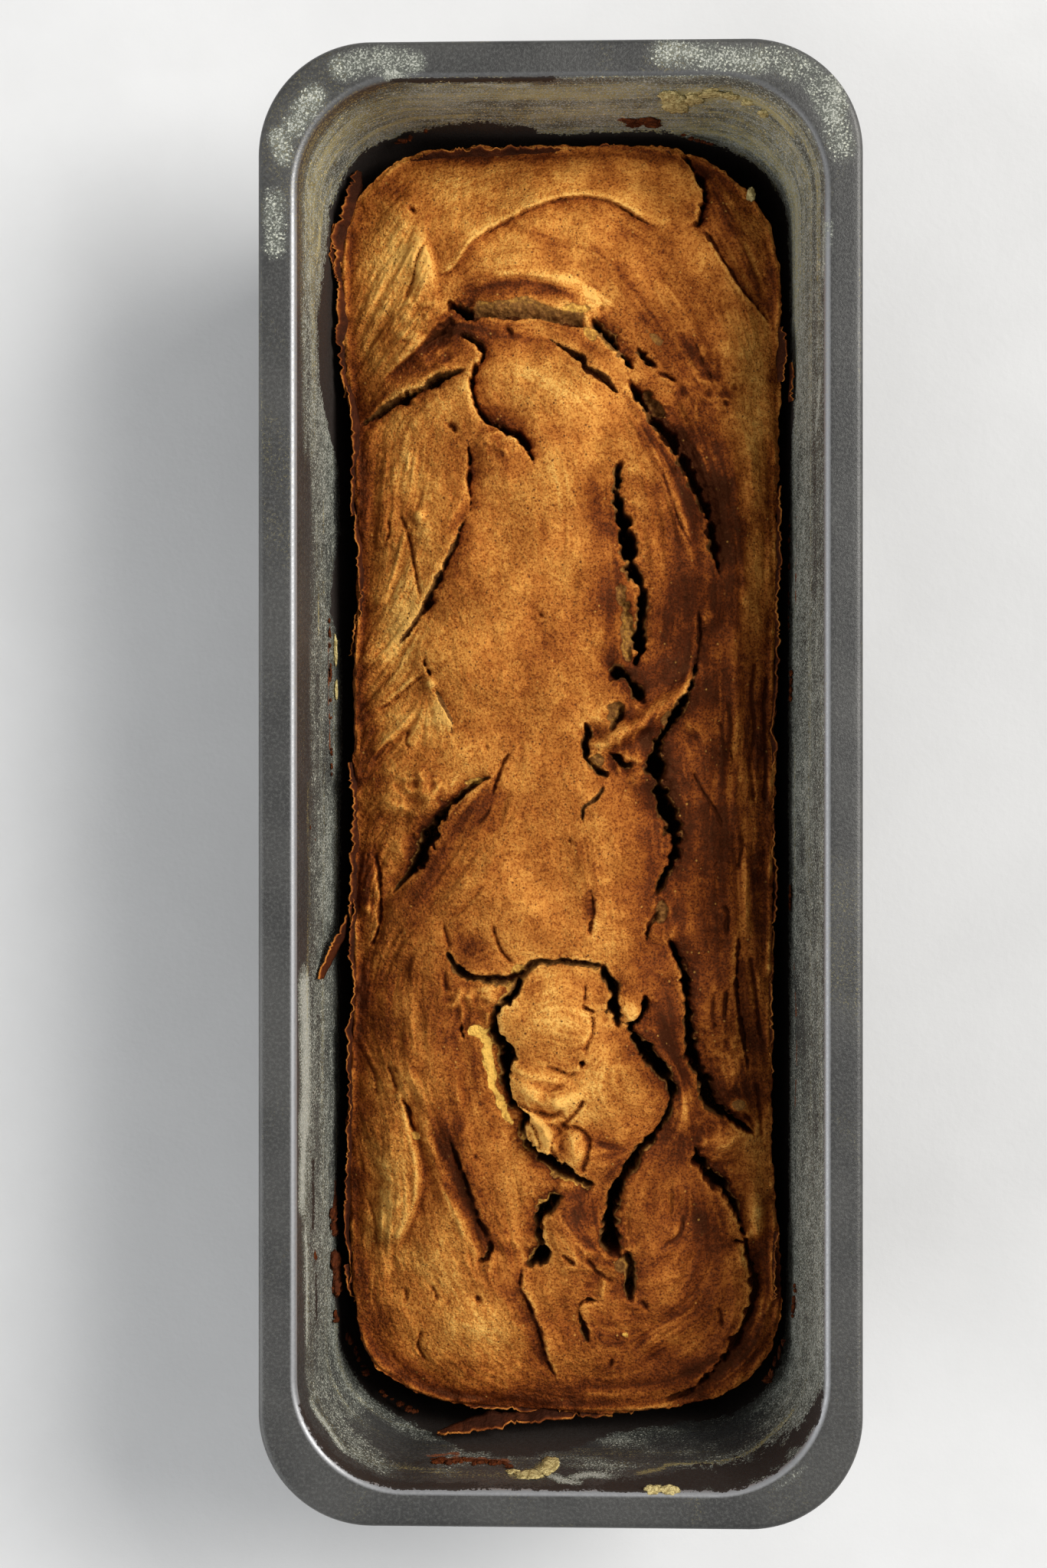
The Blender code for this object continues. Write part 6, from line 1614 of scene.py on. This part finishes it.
def tin_material():
    """Worn grey non-stick steel, dusted with flour and oil inside, burnt dark below the loaf, with a
    painted highlight along its lip.
    """
    nodes = Nodes("worn_tin")
    wound = nodes.add("ShaderNodeAttribute", attribute_name="wound").outputs["Vector"]
    brushed = nodes.noise(0.6, 5.0, 0.66, wound)
    mottle = nodes.noise(0.7, 3.0, 0.6)
    cloud = nodes.noise(22.0, 3.0, 0.5)
    grit = nodes.noise(0.42, 3.0, 0.7)
    soft = nodes.noise(3.5, 4.0, 0.65)
    bend_highlight = nodes.layer("bend_highlight")
    steel = nodes.mix(nodes.spread(cloud, 0.35, 0.65), COATED_STEEL, RUBBED_STEEL)
    steel = nodes.mix(nodes.spread(mottle, 0.45, 0.68, 0.0, 0.35), steel, WORN_STEEL)
    # Painted highlight: the rounded lip is lighter steel
    steel = nodes.mix(bend_highlight, steel, BEND_HIGHLIGHT)
    dusty = nodes.spread(nodes.layer("dust"), 0.08, 0.35)
    dust = nodes.shaken(nodes.layer("dust"), soft, 0.12)
    dust = nodes.shaken(dust, brushed, 0.03, 0.32, 0.68)
    dust = nodes.shaken(dust, grit, 0.27)
    dust = nodes.math("SUBTRACT", nodes.math("MULTIPLY", dust, dusty),
                      nodes.math("MULTIPLY", bend_highlight, 0.4))
    film = nodes.spread(dust, 0.0, 0.7)
    colour = nodes.mix(film, steel, DUST_FILM)
    powder = nodes.spread(dust, 0.30, 0.75, 0.0, 0.85)
    colour = nodes.mix(powder, colour, POWDER)
    grains = nodes.math("ADD", nodes.spread(grit, 0.3, 0.7), nodes.math("MULTIPLY", dust, 0.7))
    grains = nodes.spread(grains, 0.95, 1.35, 0.0, 0.7)
    colour = nodes.mix(grains, colour, FLOUR_GRAIN)
    sparkle = nodes.math("SUBTRACT", 1.0, nodes.spread(nodes.cells(0.85), 0.17, 0.32))
    swept = nodes.shaken(nodes.noise(3.0, 4.0), brushed, 0.1, 0.4, 0.6)
    sparkle = nodes.math("MULTIPLY", sparkle, nodes.spread(swept, 0.40, 0.60))
    sparkle = nodes.math("MULTIPLY", sparkle, nodes.spread(dust, 0.02, 0.3))
    fleck = nodes.mix(nodes.spread(nodes.layer("yellow"), 0.1, 0.4), PALE_FLECK, YELLOW_FLECK)
    colour = nodes.mix(sparkle, colour, fleck)
    oil = nodes.shaken(nodes.layer("yellow"), brushed, 0.16, 0.35, 0.65)
    oil = nodes.math("SUBTRACT", oil, nodes.spread(grit, 0.35, 0.65, 0.0, 0.6))
    oil = nodes.spread(oil, 0.0, 0.4, 0.0, 0.8)
    colour = nodes.mix(oil, colour, OIL)
    burnt = nodes.shaken(nodes.shaken(nodes.layer("residue"), soft, 0.24), mottle, 0.24)
    burnt = nodes.spread(burnt, 0.46, 0.56)
    colour = nodes.mix(burnt, colour, RESIDUE)
    stain = nodes.spread(nodes.shaken(nodes.layer("stain"), soft, 0.25), 0.38, 0.56)
    stain_tint = nodes.mix(nodes.spread(grit, 0.4, 0.65), DARK_STAIN, LIGHT_STAIN)
    colour = nodes.mix(stain, colour, stain_tint)
    dirt = film
    for cover in (stain, grains, burnt):
        dirt = nodes.math("MAXIMUM", dirt, cover)
    rough = nodes.math("ADD", nodes.spread(mottle, 0.3, 0.7, 0.34, 0.5),
                       nodes.math("MULTIPLY", dirt, 0.25))
    metal = nodes.math("SUBTRACT", 0.45, dirt, clamp=True)
    nodes.feed(nodes.shader.inputs["Metallic"], metal)
    height = nodes.math("ADD", grit, nodes.math("MULTIPLY", dirt, 0.6))
    smooth_bend = nodes.spread(bend_highlight, 0.0, 1.0, 0.7, 0.05)
    return nodes.finish(colour, rough, nodes.bump(height, 0.14, smooth_bend))


# Torn crust

def frames_along(route, step):
    """Points along a 3-D route with the level direction to its left at each."""
    centre = smooth_route(route, step)
    heading = np.gradient(centre[:, :3], axis=0)
    aside = np.stack([-heading[:, 1], heading[:, 0], np.zeros(len(heading))], 1)
    aside /= np.linalg.norm(aside, axis=1)[:, None]
    return centre, aside


RIBBON_ROWS = (0.0, 0.06, 0.16, 0.32, 0.5, 0.75, 1.0)
RIBBON_STEP = 0.4


def ribbon(tops, heights, aside, lean, thickness, seed):
    """A thin torn strip that hangs from a ragged top edge: vertices, faces and how baked."""
    tilt = math.radians(lean)
    rows = len(RIBBON_ROWS)
    vertices = []
    baked = []
    ways = np.stack([np.arange(len(tops)) * RIBBON_STEP, np.full(len(tops), seed * 7.0)], 1)
    jags = 1 - 2 * np.abs(smooth_noise(ways, 0.9, seed + 2))
    rag = 0.7 * layered_noise(ways, 3.2, 3, seed) + 0.9 * jags * smooth_noise(ways, 2.4, seed + 3)
    wave = layered_noise(ways + 31, 5.0, 3, seed + 1)
    for row, share in enumerate(RIBBON_ROWS):
        down = heights * share
        reach = (1 - share) ** 2 * rag - down
        curl = wave * 0.35 + 0.35 * smooth_noise(ways + 9 * share, 2.6, seed + 4) * (1 - share)
        curl += 0.45 * jags * (1 - share) ** 2
        centre = tops + aside * (math.sin(tilt) * reach + curl)[:, None]
        centre[:, 2] += math.cos(tilt) * reach
        half = thickness * (0.45 + 0.55 * min(1.0, share * 3)) / 2
        for sense in (1, -1):
            vertices.append(centre + aside * (sense * half))
            baked.append(np.full(len(tops), min(1.0, share * 9)) + 0.35 * wave)
    count = len(tops)
    order = [2 * row for row in range(rows)] + [2 * row + 1 for row in range(rows - 1, -1, -1)]
    faces = []
    for first, second in zip(order, order[1:] + order[:1]):
        for k in range(count - 1):
            faces.append((first * count + k, first * count + k + 1,
                          second * count + k + 1, second * count + k))
    faces.append(tuple(level * count for level in order))
    faces.append(tuple(level * count + count - 1 for level in order[::-1]))
    return np.concatenate(vertices), faces, np.concatenate(baked)


def join_parts(parts):
    """One list of vertices, faces and baked values from several."""
    vertices, faces, baked = [], [], []
    start = 0
    for part_vertices, part_faces, part_baked in parts:
        vertices.append(part_vertices)
        faces += [tuple(index + start for index in face) for face in part_faces]
        baked.append(part_baked)
        start += len(part_vertices)
    return np.concatenate(vertices), faces, np.concatenate(baked)


def build_fins(material):
    """The torn fins along the loaf's edge, as one piece."""
    parts = []
    for number, (thickness, lean, route) in enumerate(FINS):
        rows = np.array([(x, y, top) for x, y, top, _ in route], dtype=float)
        centre, aside = frames_along(rows, RIBBON_STEP)
        outward = np.sign((aside[:, :2] * centre[:, :2]).sum(1).mean())
        sizes = np.interp(np.linspace(0, 1, len(centre)), np.linspace(0, 1, len(route)),
                          [fin for _, _, _, fin in route])
        parts.append(ribbon(centre, sizes, aside * outward, lean, thickness, 81 + number))
    vertices, faces, baked = join_parts(parts)
    piece = make_object("crust_fins", vertices, faces, material, {"baked": baked})
    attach(piece, "root")


def build_loose(name, node, route, height, lean, thickness, seed, material):
    """A loose torn strip that replaces its plain solid."""
    centre, aside = frames_along(route, RIBBON_STEP)
    share = np.linspace(0, 1, len(centre))
    ways = np.stack([np.arange(len(centre)) * RIBBON_STEP, np.full(len(centre), seed * 3.0)], 1)
    sizes = height * (0.45 + 0.55 * np.sin(math.pi * share))
    sizes *= 1 + 0.4 * layered_noise(ways, 4.0, 3, seed + 7)
    tops = centre.copy()
    tops[:, 2] += sizes / 2
    vertices, faces, baked = ribbon(tops, sizes, aside, lean, thickness, seed)
    piece = make_object(name, vertices, faces, material, {"baked": baked})
    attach(piece, "root")
    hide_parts(node)


def trail_places():
    """Crumbs of uneven size scattered along each trail, flat against the wall."""
    chance = np.random.default_rng(131)
    places = []
    for count, size, start, end in CRUST_TRAILS:
        start, end = np.array(start), np.array(end)
        for _ in range(count):
            middle = start + (end - start) * chance.random()
            middle[2] += chance.normal() * 1.1 * size
            half = size * (0.35 + 0.75 * chance.random(3))
            sides = abs(middle[0]) / INNER_HALF[0] > abs(middle[1]) / INNER_HALF[1]
            half[0 if sides else 1] *= 0.55
            half[1 if sides else 0] *= 1.15
            places.append((*middle, *half))
    return places


BALL_ACROSS = 22
BALL_ROWS = 13


def plain_ball():
    """Vertices and faces of a ball of radius one, with its two poles last."""
    across = np.linspace(0, 2 * math.pi, BALL_ACROSS, endpoint=False)
    rows = []
    for rise in np.linspace(-math.pi / 2, math.pi / 2, BALL_ROWS + 2)[1:-1]:
        rows.append(np.stack([np.cos(across) * math.cos(rise), np.sin(across) * math.cos(rise),
                              np.full(BALL_ACROSS, math.sin(rise))], 1))
    faces = []
    for row in range(BALL_ROWS - 1):
        lower = row * BALL_ACROSS + np.arange(BALL_ACROSS)
        faces += band_faces(lower, lower + BALL_ACROSS)
    last = (BALL_ROWS - 1) * BALL_ACROSS
    pole = last + BALL_ACROSS
    for k in range(BALL_ACROSS):
        after = (k + 1) % BALL_ACROSS
        faces += [(pole, after, k), (pole + 1, last + k, last + after)]
    return np.concatenate(rows + [np.array([[0, 0, -1.0], [0, 0, 1.0]])]), faces


def build_bits(name, places, material):
    """Small uneven lumps, each a ball pressed out of round."""
    ball, faces = plain_ball()
    parts = []
    for number, place in enumerate(places):
        centre = np.array(place[:3])
        half = np.array(place[3:])
        flat = ball[:, :2] * 3 + ball[:, 2:] * np.array([1.7, 2.3]) + 40.0 * number
        uneven = 1 + 0.34 * smooth_noise(flat, 1.2, 121) + 0.2 * smooth_noise(flat, 0.6, 122)
        lump = centre + half * (ball * np.clip(uneven, 0.4, 1.7)[:, None])
        side = 1 if abs(centre[1]) > END_WALL_FROM else 0
        lump[:, side] += math.copysign(WALL_LEAN, centre[side]) * (lump[:, 2] - centre[2])
        parts.append((lump, faces, 0.7 + 0.35 * smooth_noise(flat, 2.0, 123)))
    vertices, faces, baked = join_parts(parts)
    piece = make_object(name, vertices, faces, material, {"baked": baked})
    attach(piece, "root")


# Stage, light and camera

GROUND_HALF = 2500.0
GROUND_HEIGHT = -0.2
GROUND_DULL = (0.600, 0.598, 0.595)
GROUND_PALE = (0.638, 0.636, 0.633)


def build_floor():
    """A plain pale floor, a little below the tin so that the two don't touch."""
    nodes = Nodes("pale_plaster")
    cloud = nodes.noise(60.0, 5.0, 0.6)
    grain = nodes.noise(2.0, 4.0, 0.6)
    colour = nodes.mix(nodes.spread(cloud, 0.3, 0.7), GROUND_DULL, GROUND_PALE)
    material = nodes.finish(colour, 0.85, nodes.bump(grain, 0.2, 0.3))
    corners = [(GROUND_HALF * x, GROUND_HALF * y, GROUND_HEIGHT)
               for x, y in ((-1, -1), (1, -1), (1, 1), (-1, 1))]
    floor = make_object("floor", corners, [(0, 1, 2, 3)], material, smooth=False)


def add_lamp(name, place, size, power, colour):
    """A square soft light that faces the loaf."""
    lamp = bpy.data.lights.new(name, "AREA")
    lamp.shape = "SQUARE"
    lamp.size = size * MM
    lamp.energy = power
    lamp.color = colour
    item = bpy.data.objects.new(name, lamp)
    item.location = Vector(place) * MM
    item.rotation_mode = "QUATERNION"
    item.rotation_quaternion = (-item.location).to_track_quat("-Z", "Y")
    bpy.context.scene.collection.objects.link(item)


def build_light():
    add_lamp("window", WINDOW_PLACE, WINDOW_SIZE, WINDOW_POWER, WINDOW_COLOUR)
    add_lamp("white_board", BOARD_PLACE, BOARD_SIZE, BOARD_POWER, ROOM_COLOUR)
    world = bpy.data.worlds.new("room")
    world.use_nodes = True
    background = world.node_tree.nodes["Background"]
    background.inputs["Color"].default_value = (*ROOM_COLOUR, 1.0)
    background.inputs["Strength"].default_value = ROOM_STRENGTH
    bpy.context.scene.world = world


def build_camera():
    data = bpy.data.cameras.new("camera")
    data.sensor_width = SENSOR
    data.lens = FOCAL_PIXELS / PHOTO_HEIGHT * SENSOR
    data.clip_start = 0.01
    data.clip_end = 20.0
    tilt = math.radians(CAMERA_TILT)
    right = Vector((math.cos(tilt), 0.0, -math.sin(tilt)))
    back = Vector((math.sin(tilt), 0.0, math.cos(tilt)))
    turn = Matrix((right, Vector((0.0, 1.0, 0.0)), back)).transposed()
    item = bpy.data.objects.new("camera", data)
    item.matrix_world = Matrix.Translation(Vector(CAMERA_PLACE) * MM) @ turn.to_4x4()
    bpy.context.scene.collection.objects.link(item)
    bpy.context.scene.camera = item


def build_scene():
    bpy.context.scene.view_settings.view_transform = "Standard"
    build_camera()
    build_light()
    build_floor()
    torn = torn_material()
    build_tin(tin_material())
    build_loaf(crust_material())
    build_fins(torn)
    build_bits("stuck_crust", trail_places(), torn)
    build_bits("stuck_dough", DOUGH_BITS, dough_material())
    build_loose("scrap_of_crust", "crust_scrap", SCRAP_ROUTE, height=4.6, lean=-30,
                thickness=0.8, seed=97, material=torn)
    build_loose("flake_of_crust", "crust_flake", FLAKE_ROUTE, height=5.4, lean=-12,
                thickness=0.7, seed=98, material=torn)


build_scene()
